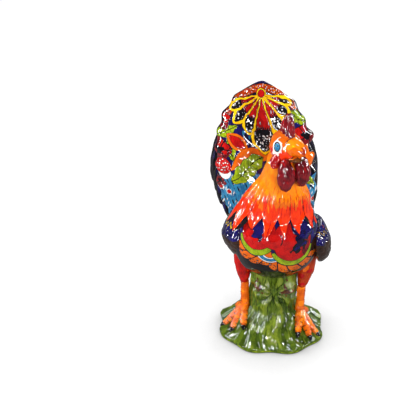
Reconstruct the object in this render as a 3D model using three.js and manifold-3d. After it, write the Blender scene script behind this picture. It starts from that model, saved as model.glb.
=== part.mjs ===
// A glazed earthenware rooster standing on a grass mound, as the potter's separate clay pieces, joined with
// slip: hollow-built body, neck, tail and mound, and solid head, comb, wattles, wings, legs and feathers.
// Millimetres, +Z up. The bird faces -Y, its left side is +X and it turns its head to its left.
import * as THREE from "three";
import { mergeVertices } from "three/addons/utils/BufferGeometryUtils.js";
import Module from "manifold-3d";

// Clay
const wall = 8; // thickness of the hollow-built pieces
const slipGap = 0.3; // joint line between two pieces, filled with slip when they are joined
const ventHole = 3.2; // pinhole pricked through to a closed hollow, so that steam can leave it
const weld = 0.002; // corners closer than this are one corner

// Mound: a rim on the floor, a sloping skirt of grass and an upright tuft that carries the belly
const baseWidth = 197;
const baseDepth = 172;
const rimHeight = 9;
const skirtHeight = 60;
const tuftWidth = 88;
const tuftDepth = 82;
const tuftPinch = 3; // how far the tuft draws in halfway up
const grassFold = 2.2; // depth of the folds in the grass
const grassFolds = 14;

// Body: an egg whose long axis sags between the breast and the rump
const breastReach = 107; // from the mound's centre forward to the breast
const rumpReach = 125;
const breastHeight = 246;
const rumpHeight = 275;
const sagFront = 203;
const sagRear = 204;
const bodyWidth = 158;
const bodyRise = 68;
const shoulderRise = 20; // how much higher the back stands where the neck grows out of it
const bodyDrop = 80;

// Neck: a bell of hackle feathers, with the head seated in its top
const neckSeat = 48; // how far in front of the mound's centre the bell is centred
const neckLean = 18; // how far the neck leans forward on its way up
const neckSway = 9; // how far its top leans to the bird's left
const bellFoot = 276; // height of the bell's edge between the feather tips
const neckHeight = 400;
const bellInset = 4; // how far the bell's edge lies inside the body's widest place, on each side
const bellWidth = bodyWidth - 2 * bellInset;
const bellDepth = 118;
const throatWidth = 52;
const throatDepth = 54;
const hackleTips = 14;
const hackleDepth = 3; // how far a feather tip stands out of the bell
const hackleLength = 24; // how far it hangs below the bell's edge

// Head, in its own frame: +X is the bird's left, -Y its beak
const headTurn = 36; // degrees to the left
const headTilt = 12; // degrees of upward look
const headWidth = 50;
const headLength = 58;
const headHeight = 60;
const headLift = 22; // head's centre above the top of the neck
const beakLength = 22; // beyond the face
const beakWidth = 36;
const beakHeight = 35;
const jawHeight = 15;
const combLength = 34;
const combHeight = 29; // above the crown
const combForward = 10; // its root ahead of the crown's middle
const combThickness = 18;
const wattleWidth = 31;
const wattleDepth = 29;
const wattleLength = 55;
const earLength = 32;
const earWidth = 20;
const earThickness = 9; // out from the cheek

// Wings: thick leaves on the flanks, set on by hand, so that the two differ
const wingLength = 148;
const wingHeight = 85;
const wingThicknessLeft = 29;
const wingThicknessRight = 36;
const wingFlareLeft = 9; // degrees that the lower edge leans out
const wingFlareRight = 2;
const wingDropLeft = 2; // front end of the wing's middle line below the body's axis
const wingDropRight = -9;
const wingDroop = 26; // how much further the rear end lies below the axis
const wingOutLeft = 8; // wing's middle outside the flank
const wingOutRight = 1;
const wingSquareLeft = { over: 1.45, under: 2.8 }; // faces beside the ridge: flat at 1, an ellipse at 2
const wingSquareRight = { over: 1.15, under: 1.2 };

// Legs
const hipSpreadLeft = 67;
const hipSpreadRight = 62;
const hipBack = 2; // behind the mound's centre
const thighWidth = 31;
const thighRise = 76; // from the hock up to the hip
const footSpread = 52;
const footForwardLeft = 16; // in front of the mound's centre
const footForwardRight = 6;
const hockSplay = 1; // how much wider apart the hocks stand than the feet
const shankWidth = 16;
const shankLength = 54;
const toeWidth = 16.5;
const toeLength = 49;
const hindToeLength = 26;
const toeAnglesLeft = { inner: -4, middle: 28, outer: 55, hind: 138 }; // degrees outward from straight ahead
const toeAnglesRight = { inner: 2, middle: 34, outer: 72, hind: 138 };

// Tail: a tall hood, with sickle feathers down each edge and a plume behind its top
const tailRoot = 70; // behind the mound's centre, inside the rump
const tailReach = 131;
const tailSway = 31; // how far its top leans to the bird's right
const tailHeight = 456;
const tailWidth = 186;
const tailFront = 40;
const tailBack = 46;
const sickleWidth = 62;
const sickleThickness = 18;
const sickleLength = 112;
const sickleCount = 4;
const plumeWidth = 54;
const plumeThickness = 22;
const plumeLength = 50;

const degree = Math.PI / 180;
const acrossX = new THREE.Vector3(1, 0, 0);
const wasm = await Module();
wasm.setup();

// Glaze colours, one for each kind of piece
const navy = 0x15123a;
const flame = 0xff6a10;
const amber = 0xff8c12;
const oxblood = 0x6d1016;
const scarlet = 0xd0200f;
const grass = 0x5c8a1c;

const point = (x, y, z) => new THREE.Vector3(x, y, z);
const mix = THREE.MathUtils.lerp;
// Half sizes of a profile that is as deep in front of its spine as behind it
const oval = (side, depth) => ({ side, front: depth, back: depth });

// Closed geometry through rings of points. A ring of one point is a pole; a longer end ring gets a flat cap.
function skin(rings) {
  const position = [];
  const index = [];
  const start = [];
  for (const ring of rings) {
    start.push(position.length / 3);
    for (const p of ring) position.push(p.x, p.y, p.z);
  }
  const cap = (row, turn) => {
    const ring = rings[row];
    if (ring.length === 1) return;
    const centre = position.length / 3;
    const middle = ring.reduce((sum, p) => sum.add(p), point(0, 0, 0)).divideScalar(ring.length);
    position.push(middle.x, middle.y, middle.z);
    ring.forEach((p, j) => {
      const pair = [start[row] + j, start[row] + ((j + 1) % ring.length)];
      index.push(centre, pair[turn], pair[1 - turn]);
    });
  };
  for (let i = 0; i + 1 < rings.length; i++) {
    const count = Math.max(rings[i].length, rings[i + 1].length);
    const corner = (row, j) => start[row] + (rings[row].length === 1 ? 0 : j % count);
    for (let j = 0; j < count; j++) {
      const [a, b, c, d] = [corner(i, j), corner(i + 1, j), corner(i + 1, j + 1), corner(i, j + 1)];
      if (b !== c) index.push(a, b, c);
      if (a !== d) index.push(a, c, d);
    }
  }
  cap(0, 0);
  cap(rings.length - 1, 1);
  const geometry = new THREE.BufferGeometry();
  geometry.setAttribute("position", new THREE.Float32BufferAttribute(position, 3));
  geometry.setIndex(index);
  return geometry;
}

// A profile carried along a spine. girth(t) gives half sizes { side, front, back }: side lies along across,
// and front is where across x tangent points. swell(angle, t) scales a ring's points, slide(angle, t) moves
// them along the spine, and a zero girth is a pole.
function loft({ spine, girth, across = acrossX, rings, points, swell = () => 1, slide = () => 0 }) {
  const made = [];
  for (let k = 0; k <= rings; k++) {
    const t = (1 - Math.cos((Math.PI * k) / rings)) / 2;
    const centre = spine.getPoint(t);
    const size = girth(t);
    if (size.side < 0.01) {
      made.push([centre]);
      continue;
    }
    const ahead = spine.getTangent(t);
    const front = across.clone().cross(ahead).normalize();
    const ring = [];
    for (let j = 0; j < points; j++) {
      const angle = (2 * Math.PI * j) / points;
      const depth = Math.sin(angle) > 0 ? size.front : size.back;
      const scale = swell(angle, t);
      const p = centre.clone().addScaledVector(across, size.side * Math.cos(angle) * scale);
      p.addScaledVector(front, depth * Math.sin(angle) * scale);
      ring.push(p.addScaledVector(ahead, slide(angle, t)));
    }
    made.push(ring);
  }
  return skin(made);
}

// The same closed geometry with every vertex moved out along its normal, or in where the distance is negative
function grown(geometry, distance) {
  const made = geometry.clone();
  made.computeVertexNormals();
  const positions = made.attributes.position;
  const normals = made.attributes.normal;
  for (let i = 0; i < positions.count; i++) {
    const p = point(0, 0, 0).fromBufferAttribute(positions, i);
    p.addScaledVector(point(0, 0, 0).fromBufferAttribute(normals, i), distance);
    positions.setXYZ(i, p.x, p.y, p.z);
  }
  made.deleteAttribute("normal");
  return made;
}

function solid(geometry) {
  const bare = geometry.clone();
  bare.deleteAttribute("normal");
  bare.deleteAttribute("uv");
  const merged = mergeVertices(bare, weld);
  return new wasm.Manifold(
    new wasm.Mesh({
      numProp: 3,
      vertProperties: new Float32Array(merged.attributes.position.array),
      triVerts: new Uint32Array(merged.index.array),
    }),
  );
}

// The main body of a cut shape, without its offcuts
const mainBody = (shape) => shape.decompose().sort((a, b) => b.volume() - a.volume())[0];

// A solid cut back to keep a gap to each neighbour's blank
function cutBack(shape, neighbours, gap) {
  return mainBody(neighbours.reduce((left, other) => left.subtract(solid(grown(other, gap))), shape));
}
// A blank trimmed to the joint line against its neighbours, and a hollow kept a wall clear of them
const trimmed = (blank, neighbours) => cutBack(solid(blank), neighbours, slipGap);
const hollow = (blank, neighbours) => cutBack(solid(blank), neighbours, wall + slipGap);

// A pinhole between two points, through whatever walls lie between them
function pinhole(from, to) {
  const run = to.clone().sub(from);
  const made = new THREE.CylinderGeometry(ventHole / 2, ventHole / 2, run.length(), 8);
  made.applyQuaternion(new THREE.Quaternion().setFromUnitVectors(point(0, 1, 0), run.clone().normalize()));
  made.translate(...from.clone().add(to).divideScalar(2).toArray());
  return solid(made);
}

function geometryOf(shape) {
  const made = shape.getMesh();
  const geometry = new THREE.BufferGeometry();
  geometry.setAttribute("position", new THREE.BufferAttribute(made.vertProperties, 3));
  geometry.setIndex(new THREE.BufferAttribute(made.triVerts, 1));
  return geometry;
}

function addPiece(group, name, shape, colour) {
  const geometry = geometryOf(mainBody(solid(geometryOf(shape))));
  geometry.computeVertexNormals();
  const finish = new THREE.MeshStandardMaterial({ color: colour, roughness: 0.15, metalness: 0 });
  const mesh = new THREE.Mesh(geometry, finish);
  mesh.name = name;
  group.add(mesh);
}

// Full in the middle and round at both ends, with the fullest place a little before the middle
const egg = (t) => Math.sqrt(Math.max(0, Math.sin(Math.PI * t ** 0.76)));
// Distance from the centre to a unit superellipse in a direction
function squared(angle, power) {
  return (Math.abs(Math.cos(angle)) ** power + Math.abs(Math.sin(angle)) ** power) ** (-1 / power);
}
// A leaf that comes to a blunt tip at both ends
const leaf = (t) => Math.max(0, Math.sin(Math.PI * t)) ** 0.62;

// Body
const bodySpan = breastReach + rumpReach;
const bodyAxis = new THREE.CubicBezierCurve3(
  point(0, -breastReach, breastHeight),
  point(0, -breastReach + bodySpan / 3, sagFront),
  point(0, -breastReach + (2 * bodySpan) / 3, sagRear),
  point(0, rumpReach, rumpHeight),
);
const alongBody = (y) => (y + breastReach) / bodySpan;
const axisHeightAt = (y) => bodyAxis.getPoint(alongBody(y)).z;
const backSquare = 2.5; // between an ellipse at 2 and a box
const bellySquare = 2;
const squareOn = (above) => (above > 0 ? backSquare : bellySquare);

// Height of the back above the axis
const riseAt = (t) => bodyRise * egg(t) + shoulderRise * Math.exp(-(((t - 0.25) / 0.13) ** 2));

// Half width of the body at a place along it and a height
function flankAt(y, z) {
  const full = egg(alongBody(y));
  const above = z - axisHeightAt(y);
  const share = Math.min(1, Math.abs(above) / (above > 0 ? riseAt(alongBody(y)) : bodyDrop * full));
  const square = squareOn(above);
  return (bodyWidth / 2) * full * (1 - share ** square) ** (1 / square);
}

// The body's rings stand upright, square to Y, so that its surface is plain to work out anywhere
function bodyBlank() {
  const rings = 12;
  const points = 22;
  const made = [];
  for (let k = 0; k <= rings; k++) {
    const t = (1 - Math.cos((Math.PI * k) / rings)) / 2;
    const centre = bodyAxis.getPoint(t);
    const full = egg(t);
    if (full < 0.001) {
      made.push([centre]);
      continue;
    }
    const ring = [];
    for (let j = 0; j < points; j++) {
      const angle = (2 * Math.PI * j) / points;
      const reach = squared(angle, squareOn(Math.sin(angle)));
      const height = Math.sin(angle) > 0 ? riseAt(t) : bodyDrop * full;
      const x = (bodyWidth / 2) * full * reach * Math.cos(angle);
      ring.push(point(x, centre.y, centre.z + height * reach * Math.sin(angle)));
    }
    made.push(ring);
  }
  return skin(made);
}
const body = bodyBlank();

// Mound: rings from the rim up to inside the belly, on a rounded outline that is a superellipse
const tuftTop = axisHeightAt(0);
const baseSquare = 2.3;
const moundHalfX = (share) => mix(tuftWidth, baseWidth, share) / 2;
const moundHalfY = (share) => mix(tuftDepth, baseDepth, share) / 2;
const skirtClimb = (share) => mix(rimHeight, skirtHeight, (1 - share) ** 1.15);
function moundRing(share, z, inset, fold) {
  const points = fold > 0 || inset === 0 ? 3 * grassFolds : 2 * grassFolds;
  const halfX = moundHalfX(share) - inset;
  const halfY = moundHalfY(share) - inset;
  const ring = [];
  for (let j = 0; j < points; j++) {
    const angle = (-2 * Math.PI * j) / points;
    const scale = squared(angle, baseSquare) + (fold * Math.cos(grassFolds * angle)) / halfX;
    ring.push(point(halfX * Math.cos(angle) * scale, halfY * Math.sin(angle) * scale, z));
  }
  return ring;
}
function moundBlank(inset, floor, fold) {
  const rings = [moundRing(1, floor, inset, 0), moundRing(1, rimHeight - inset / 2, inset, 0)];
  for (const share of [0.75, 0.5, 0.25, 0.08, 0]) {
    rings.push(moundRing(share, skirtClimb(share) - inset, inset, fold * Math.sqrt(1 - share)));
  }
  for (const climb of [0.4, 1]) {
    const pinch = tuftPinch * Math.sin(Math.PI * climb);
    rings.push(moundRing(0, mix(skirtHeight, tuftTop, climb), inset + pinch, fold));
  }
  return skin(rings);
}
const mound = moundBlank(0, 0, grassFold);

// Height of the skirt under a place, found by halving the range of rings that the place can lie on
function skirtAt(x, y) {
  let low = 0;
  let high = 1;
  for (let step = 0; step < 30; step++) {
    const share = (low + high) / 2;
    const acrossShare = Math.abs(x / moundHalfX(share)) ** baseSquare;
    const alongShare = Math.abs(y / moundHalfY(share)) ** baseSquare;
    if (acrossShare + alongShare < 1) high = share;
    else low = share;
  }
  return skirtClimb(high);
}

// Neck: a bell over the shoulders, whose edge hangs down in feather tips
const neckAxis = new THREE.QuadraticBezierCurve3(
  point(0, -neckSeat, bellFoot),
  point(0, -neckSeat, mix(bellFoot, neckHeight, 0.5)),
  point(neckSway, -neckSeat - neckLean, neckHeight),
);
// Feather tips run round the front and sides; at the back the bell's edge is sunk in the shoulders
function tipWave(angle) {
  const ahead = THREE.MathUtils.smoothstep(Math.sin(angle), -0.6, -0.1);
  return (ahead * (1 + Math.cos(hackleTips * angle))) / 2;
}
function neckBlank(points, tips, start, end, inset) {
  const along = (t) => mix(start, end, t);
  return loft({
    spine: {
      getPoint: (t) => neckAxis.getPoint(along(t)),
      getTangent: (t) => neckAxis.getTangent(along(t)),
    },
    rings: 8,
    points,
    girth: (t) => {
      const flare = Math.cos((Math.PI / 2) * Math.min(1, along(t) / 0.9)) ** 3;
      const side = mix(throatWidth, bellWidth, flare) / 2 - inset;
      return oval(side, mix(throatDepth, bellDepth, flare) / 2 - inset);
    },
    swell: (angle, t) => 1 + ((2 * hackleDepth) / bellWidth) * tips * tipWave(angle) * (1 - t) ** 2,
    slide: (angle, t) => -hackleLength * tips * tipWave(angle) * (1 - t) ** 4,
  });
}
const neck = neckBlank(3 * hackleTips, 1, 0, 1, 0);
const neckCore = neckBlank(18, 0, 0.24, 0.84, wall); // between the shoulders and the head's seat

// Head and what is on it, in the head's own frame
const neckTop = neckAxis.getPoint(1);
const headGroup = new THREE.Group();
headGroup.position.set(neckTop.x, neckTop.y, neckTop.z + headLift);
headGroup.rotation.set(-headTilt * degree, 0, headTurn * degree, "ZXY");
headGroup.updateMatrix();
const intoHead = headGroup.matrix.clone().invert();

const face = headLength / 2;
const skull = loft({
  spine: new THREE.LineCurve3(point(0, -face, 0), point(0, face, 0)),
  rings: 8,
  points: 16,
  girth: (t) => {
    const full = Math.sqrt(Math.max(0, 1 - (2 * t - 1) ** 2));
    return oval((headWidth / 2) * full, (headHeight / 2) * full);
  },
});

// The beak hooks down to its tip; the jaw lies under it
const beakRoot = -face * 0.3;
const beakTip = -face - beakLength;
const beakLine = headHeight * 0.05; // height of the beak's axis where it leaves the face
const jawLine = beakLine - (beakHeight + jawHeight) / 2 + jawHeight * 0.4;
const taper = (t) => Math.max(0, 1 - t ** 1.8) ** 0.6;
const upperBeak = loft({
  spine: new THREE.QuadraticBezierCurve3(
    point(0, beakRoot, beakLine),
    point(0, mix(beakRoot, beakTip, 0.6), beakLine + beakHeight * 0.12),
    point(0, beakTip, beakLine - beakHeight * 0.26),
  ),
  rings: 8,
  points: 14,
  girth: (t) => oval((beakWidth / 2) * taper(t), (beakHeight / 2) * taper(t)),
});
const lowerBeak = loft({
  spine: new THREE.LineCurve3(point(0, beakRoot, jawLine), point(0, mix(beakRoot, beakTip, 0.84), jawLine)),
  rings: 6,
  points: 12,
  girth: (t) => oval(0.43 * beakWidth * taper(t), (jawHeight / 2) * taper(t)),
});

// The comb is one upright fin on the crown, leaning forward to its point
const crown = headHeight / 2;
const comb = loft({
  spine: new THREE.QuadraticBezierCurve3(
    point(0, combLength * 0.08 - combForward, crown / 2),
    point(0, -combForward, crown + combHeight * 0.4),
    point(0, -combLength * 0.42 - combForward, crown + combHeight),
  ),
  rings: 8,
  points: 12,
  girth: (t) => {
    const full = Math.max(0, 1 - t ** 2.2) ** 0.6;
    return oval((combThickness / 2) * full, (combLength / 2) * full);
  },
});

// Wattles hang side by side from the jaw and the throat
function wattleBlank(side) {
  const apart = side * (wattleWidth / 2 + slipGap);
  const top = jawLine - jawHeight * 0.1;
  return loft({
    spine: new THREE.QuadraticBezierCurve3(
      point(apart, -face * 0.75, top),
      point(apart, -face * 0.85, top - wattleLength / 2),
      point(apart, -face * 0.5, top - wattleLength),
    ),
    rings: 8,
    points: 14,
    girth: (t) => {
      const full = Math.sqrt(Math.max(0, Math.sin(Math.PI * t ** 1.4)));
      return oval((wattleWidth / 2) * full, (wattleDepth / 2) * full);
    },
  });
}

// Ear lobes lie on the cheeks, behind the wattles
function earBlank(side) {
  const top = point(side * headWidth * 0.44, -face * 0.1, -headHeight * 0.08);
  return loft({
    spine: new THREE.LineCurve3(top, top.clone().add(point(0, earLength * 0.25, -earLength))),
    across: point(0, 1, 0),
    rings: 6,
    points: 10,
    girth: (t) => oval((earWidth / 2) * leaf(t), earThickness * leaf(t)),
  });
}

// Wing: a leaf laid along the flank, whose outer side is an upper and a lower face that meet in a ridge
function wingBlank(side, drop, flare, out, thickness, square) {
  const middle = (rumpReach - breastReach) / 2 - wingLength * 0.06;
  const place = (share) => {
    const y = middle + (share - 0.5) * wingLength;
    const z = axisHeightAt(y) - drop - wingDroop * share ** 2;
    return point(side * (flankAt(y, z) + out), y, z);
  };
  const hang = point(side * Math.sin(flare * degree), 0, -Math.cos(flare * degree));
  return loft({
    spine: new THREE.CatmullRomCurve3([0, 0.25, 0.5, 0.75, 1].map(place)),
    across: hang,
    rings: 10,
    points: 16,
    swell: (angle) => {
      if (Math.sin(angle) * side <= 0) return 1;
      return squared(angle, Math.cos(angle) < 0 ? square.over : square.under);
    },
    girth: (t) => {
      const full = leaf(t ** 0.8);
      return oval((wingHeight / 2) * full, (thickness / 2) * full);
    },
  });
}
const wings = {
  left: wingBlank(1, wingDropLeft, wingFlareLeft, wingOutLeft, wingThicknessLeft, wingSquareLeft),
  right: wingBlank(-1, wingDropRight, wingFlareRight, wingOutRight, wingThicknessRight, wingSquareRight),
};

// Legs. The foot stands on the skirt of the mound, and each toe follows it down.
function legBlanks(side, forward, hipSpread, toeAngles) {
  const ankle = point(side * footSpread, -forward, skirtAt(footSpread, forward) + shankWidth * 0.3);
  const hock = ankle.clone().add(point(side * hockSplay, 0, shankLength));
  const hip = point(side * hipSpread, hipBack, hock.z + thighRise);
  const blanks = {
    thigh: loft({
      spine: new THREE.LineCurve3(hip, hock.clone().add(point(0, 0, -shankWidth / 2))),
      rings: 8,
      points: 14,
      girth: (t) => {
        const full = Math.sqrt(Math.max(0, Math.sin(Math.PI * t ** 0.75)));
        return oval((thighWidth / 2) * full, (thighWidth / 2) * full);
      },
    }),
    shank: loft({
      spine: new THREE.LineCurve3(hock, ankle.clone().add(point(0, 0, -shankWidth * 0.6))),
      rings: 5,
      points: 10,
      girth: (t) => {
        const half = (shankWidth / 2) * (1 + 0.9 * Math.max(0, t - 0.6));
        return oval(half, half);
      },
    }),
  };
  for (const name of Object.keys(toeAngles)) {
    const angle = toeAngles[name] * degree;
    const heading = point(side * Math.sin(angle), -Math.cos(angle), 0);
    const reach = name === "hind" ? hindToeLength : toeLength;
    const onGround = (share) => {
      const p = ankle.clone().addScaledVector(heading, share * reach);
      return point(p.x, p.y, skirtAt(p.x, p.y) + toeWidth * 0.3);
    };
    blanks[name + "_toe"] = loft({
      spine: new THREE.CatmullRomCurve3([0, 0.35, 0.7, 1].map(onGround)),
      across: point(-heading.y, heading.x, 0),
      rings: 6,
      points: 8,
      girth: (t) => {
        const half = (toeWidth / 2) * Math.sqrt(Math.max(0, 1 - t ** 5)) * mix(1, 0.72, t);
        return oval(half, half);
      },
    });
  }
  return blanks;
}
const legs = {
  left: legBlanks(1, footForwardLeft, hipSpreadLeft, toeAnglesLeft),
  right: legBlanks(-1, footForwardRight, hipSpreadRight, toeAnglesRight),
};

// Tail: a hood that rises from the rump and is widest a third of the way up
const tailAxis = new THREE.QuadraticBezierCurve3(
  point(-tailSway * 0.3, tailRoot, axisHeightAt(tailRoot) - bodyDrop / 3),
  point(-tailSway * 0.9, mix(tailRoot, tailReach, 0.72), mix(rumpHeight, tailHeight, 0.42)),
  point(-tailSway, tailReach, tailHeight),
);
const tailFullness = (t) => {
  const widest = 0.26;
  if (t < widest) return 1 - 0.2 * ((widest - t) / widest) ** 2;
  return Math.max(0, 1 - ((t - widest) / (1 - widest)) ** 2.7) ** 0.66;
};
const tailGirth = (t) => ({
  side: (tailWidth / 2) * tailFullness(t),
  front: tailFront * tailFullness(t) * (1 + 0.7 * (1 - t) ** 3),
  back: tailBack * tailFullness(t),
});
const tail = loft({ spine: tailAxis, girth: tailGirth, rings: 10, points: 22 });

// A sickle feather leaves the edge of the tail and curves back, out and down, each one lower than the last
function sickleBlank(side, order) {
  const place = order / (sickleCount - 1);
  const behind = tailBack * mix(0.55, 0.3, place);
  const edge = (t) => tailAxis.getPoint(t).add(point(side * tailGirth(t).side, behind, 0));
  const root = edge(mix(0.66, 0.26, place));
  const crest = edge(mix(0.42, 0.08, place));
  const fall = sickleLength * mix(0.62, 0.36, place);
  return loft({
    spine: new THREE.QuadraticBezierCurve3(
      root.clone().add(point(-side * sickleThickness, 0, 0)),
      crest.clone().add(point(side * sickleThickness * 0.2, sickleWidth * 0.25, 0)),
      crest.clone().add(point(side * sickleThickness * mix(0.3, -0.8, place), 0, -fall)),
    ),
    across: point(0, 1, 0),
    rings: 7,
    points: 10,
    girth: (share) => {
      const full = leaf(share ** 1.2);
      return oval((sickleWidth / 2) * full, (sickleThickness / 2) * full);
    },
  });
}

// The plume stands behind the top of the tail
const plumeFoot = tailAxis.getPoint(0.72);
const plume = loft({
  spine: new THREE.LineCurve3(
    point(plumeFoot.x, plumeFoot.y + tailBack * 0.5, plumeFoot.z),
    point(-tailSway, tailReach + plumeThickness * 0.9, plumeFoot.z + plumeLength),
  ),
  rings: 7,
  points: 14,
  girth: (t) => {
    const full = Math.sqrt(Math.max(0, 1 - t ** 6)) * mix(0.7, 1, t);
    return oval((plumeWidth / 2) * full, (plumeThickness / 2) * full);
  },
});

// Assembly
const rooster = new THREE.Group();
const skullHere = skull.clone().applyMatrix4(headGroup.matrix);
const neckFromHead = neck.clone().applyMatrix4(intoHead);

// Pinholes join the hollow of the body to those of the mound, the neck and the tail
const bodyMiddle = point(0, 0, axisHeightAt(0));
const neckMiddle = neckAxis.getPoint(0.55);
const tailMiddle = tailAxis.getPoint(0.5);
const bellyVent = pinhole(bodyMiddle, point(0, 0, skirtHeight));
const neckVent = pinhole(point(0, -neckSeat, axisHeightAt(-neckSeat)), neckMiddle);
const tailVent = pinhole(point(0, tailRoot / 2, axisHeightAt(tailRoot / 2)), tailMiddle);

const moundHollow = solid(moundBlank(wall, -wall, 0)).subtract(solid(grown(body, wall + slipGap)));
addPiece(rooster, "grass_mound", trimmed(mound, [body]).subtract(moundHollow).subtract(bellyVent), grass);

let bodyShell = solid(body).subtract(solid(grown(body, -wall)));
for (const vent of [bellyVent, neckVent, tailVent]) bodyShell = bodyShell.subtract(vent);
addPiece(rooster, "body_shell", bodyShell, navy);

const neckShell = trimmed(neck, [body, skullHere]).subtract(hollow(neckCore, [body, skullHere]));
addPiece(rooster, "neck_hackle", neckShell.subtract(neckVent), flame);
const tailShell = trimmed(tail, [body]).subtract(hollow(grown(tail, -wall), [body]));
addPiece(rooster, "tail_shell", tailShell.subtract(tailVent), navy);

addPiece(headGroup, "head", solid(skull), scarlet);
addPiece(headGroup, "upper_beak", trimmed(upperBeak, [skull]), amber);
addPiece(headGroup, "lower_beak", trimmed(lowerBeak, [skull, upperBeak]), amber);
addPiece(headGroup, "comb", trimmed(comb, [skull, upperBeak]), oxblood);
for (const [name, side] of [["left", 1], ["right", -1]]) {
  const wattle = wattleBlank(side);
  const lobe = trimmed(wattle, [skull, upperBeak, lowerBeak, neckFromHead]);
  addPiece(headGroup, name + "_wattle", lobe, oxblood);
  const ear = trimmed(earBlank(side), [skull, wattle, lowerBeak, neckFromHead]);
  addPiece(headGroup, name + "_ear_lobe", ear, scarlet);
}
rooster.add(headGroup);

const sickles = [];
for (const [name, side] of [["left", 1], ["right", -1]]) {
  const wing = cutBack(trimmed(wings[name], [body, tail]), [neck], 2 * slipGap); // clear of the pointed tips
  addPiece(rooster, name + "_wing", wing, navy);

  const leg = legs[name];
  addPiece(rooster, name + "_thigh", trimmed(leg.thigh, [body, wings[name], mound]), scarlet);
  addPiece(rooster, name + "_shank", trimmed(leg.shank, [leg.thigh, mound]), amber);
  const laid = [mound, leg.shank];
  for (const toe of Object.keys(toeAnglesLeft)) {
    const blank = leg[toe + "_toe"];
    addPiece(rooster, name + "_" + toe + "_toe", trimmed(blank, laid), amber);
    laid.push(blank);
  }

  const placed = [tail, body, wings[name]];
  for (let order = 0; order < sickleCount; order++) {
    const blank = sickleBlank(side, order);
    addPiece(rooster, name + "_sickle_" + (order + 1), trimmed(blank, placed), navy);
    placed.push(blank);
    sickles.push(blank);
  }
}
addPiece(rooster, "tail_plume", trimmed(plume, [tail, body, ...sickles]), navy);

// The origin is on the floor, under the middle of the whole statue
const whole = new THREE.Box3().setFromObject(rooster, true);
const centre = whole.getCenter(point(0, 0, 0));
rooster.position.set(-centre.x, -centre.y, -whole.min.z);
const statue = new THREE.Group();
statue.add(rooster);

export default statue;
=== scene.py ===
from functools import reduce
from itertools import product
from math import comb, radians
import bpy
import mathutils
import numpy as np
from numpy import (arctan2, array, clip, concatenate, cos, hypot, linspace, maximum, minimum, mod, pi,
                   sin, stack, where)
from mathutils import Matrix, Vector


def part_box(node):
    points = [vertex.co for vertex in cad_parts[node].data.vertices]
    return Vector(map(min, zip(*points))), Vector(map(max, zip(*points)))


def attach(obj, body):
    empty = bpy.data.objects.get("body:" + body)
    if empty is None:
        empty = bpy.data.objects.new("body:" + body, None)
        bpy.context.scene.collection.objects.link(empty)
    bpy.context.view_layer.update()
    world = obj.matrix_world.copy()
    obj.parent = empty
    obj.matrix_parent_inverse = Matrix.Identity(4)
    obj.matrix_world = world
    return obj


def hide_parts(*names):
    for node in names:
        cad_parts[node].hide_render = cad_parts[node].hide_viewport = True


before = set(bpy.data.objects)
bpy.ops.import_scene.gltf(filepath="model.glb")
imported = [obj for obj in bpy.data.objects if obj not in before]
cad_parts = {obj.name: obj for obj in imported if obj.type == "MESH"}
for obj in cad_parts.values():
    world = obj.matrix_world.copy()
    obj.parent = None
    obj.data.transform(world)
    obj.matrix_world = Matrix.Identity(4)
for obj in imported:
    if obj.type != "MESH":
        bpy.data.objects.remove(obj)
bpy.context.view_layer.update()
print("frame loaded with", len(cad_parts), "clay pieces")

mm = 0.001  # sizes below are millimetres from the middle of the mound's foot
moundLow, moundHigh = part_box("grass_mound")
footCentre = array([(moundLow.x + moundHigh.x) / 2, (moundLow.y + moundHigh.y) / 2, 0.0])
sides = {"left": 1, "right": -1}  # the bird's left is +x


# shapes

def mixed(low, high, share):
    return low + (high - low) * share


def positive(x):
    return maximum(0, x)


def rooted(x):
    return np.sqrt(positive(x))


def ease(low, high, x):  # 0 up to low, 1 from high on, smooth between
    s = clip((x - low) / (high - low), 0, 1)
    return s * s * (3 - 2 * s)


def hill(x, width):  # exp(-(x / width)^2)
    return np.exp(-(x / width) ** 2)


def xyz(p):
    return np.moveaxis(p, -1, 0)


def unit(v):
    return v / maximum(np.linalg.norm(v, axis=-1, keepdims=True), 1e-9)


def reachOf(p, centre, stretch=1):  # distance of each point from a place
    return np.linalg.norm((p - centre) * stretch, axis=-1)


def bezier(*points):  # sum of C(n, i) (1 - t)^(n - i) t^i p_i
    n = len(points) - 1

    def at(t):
        t = np.asarray(t, float)[..., None]
        return sum(comb(n, i) * (1 - t) ** (n - i) * t ** i * array(p, float)
                   for i, p in enumerate(points))
    return at


def through(points):  # uniform Catmull-Rom spline through a few places
    points = array(points, float)
    ends = concatenate([[2 * points[0] - points[1]], points, [2 * points[-1] - points[-2]]])

    def at(t):
        s = clip(np.asarray(t, float), 0, 1) * (len(points) - 1)
        i = minimum(s.astype(int), len(points) - 2)
        f = (s - i)[..., None]
        p0, p1, p2, p3 = ends[i], ends[i + 1], ends[i + 2], ends[i + 3]
        return 0.5 * (2 * p1 + (p2 - p0) * f + (2 * p0 - 5 * p1 + 4 * p2 - p3) * f ** 2
                      + (3 * p1 - p0 - 3 * p2 + p3) * f ** 3)
    return at


def egg(t):  # sqrt of sin(pi t^0.76): round at both ends, fullest before the middle
    return rooted(sin(pi * clip(t, 0, 1) ** 0.76))


def leaf(t):  # sin(pi t)^0.62: blunt at both ends
    return positive(sin(pi * clip(t, 0, 1))) ** 0.62


def squared(a, power):  # unit superellipse in the direction a
    return (abs(cos(a)) ** power + abs(sin(a)) ** power) ** (-1 / power)


def gridOf(rows, columns, low=0.0015, high=0.9985):  # t along the piece, closer at its ends; a round it
    t = mixed(low, high, (1 - cos(linspace(0, pi, rows))) / 2)
    a = np.arange(columns) * 2 * pi / columns
    return np.repeat(t[:, None], columns, 1), np.repeat(a[None, :], rows, 0)


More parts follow.
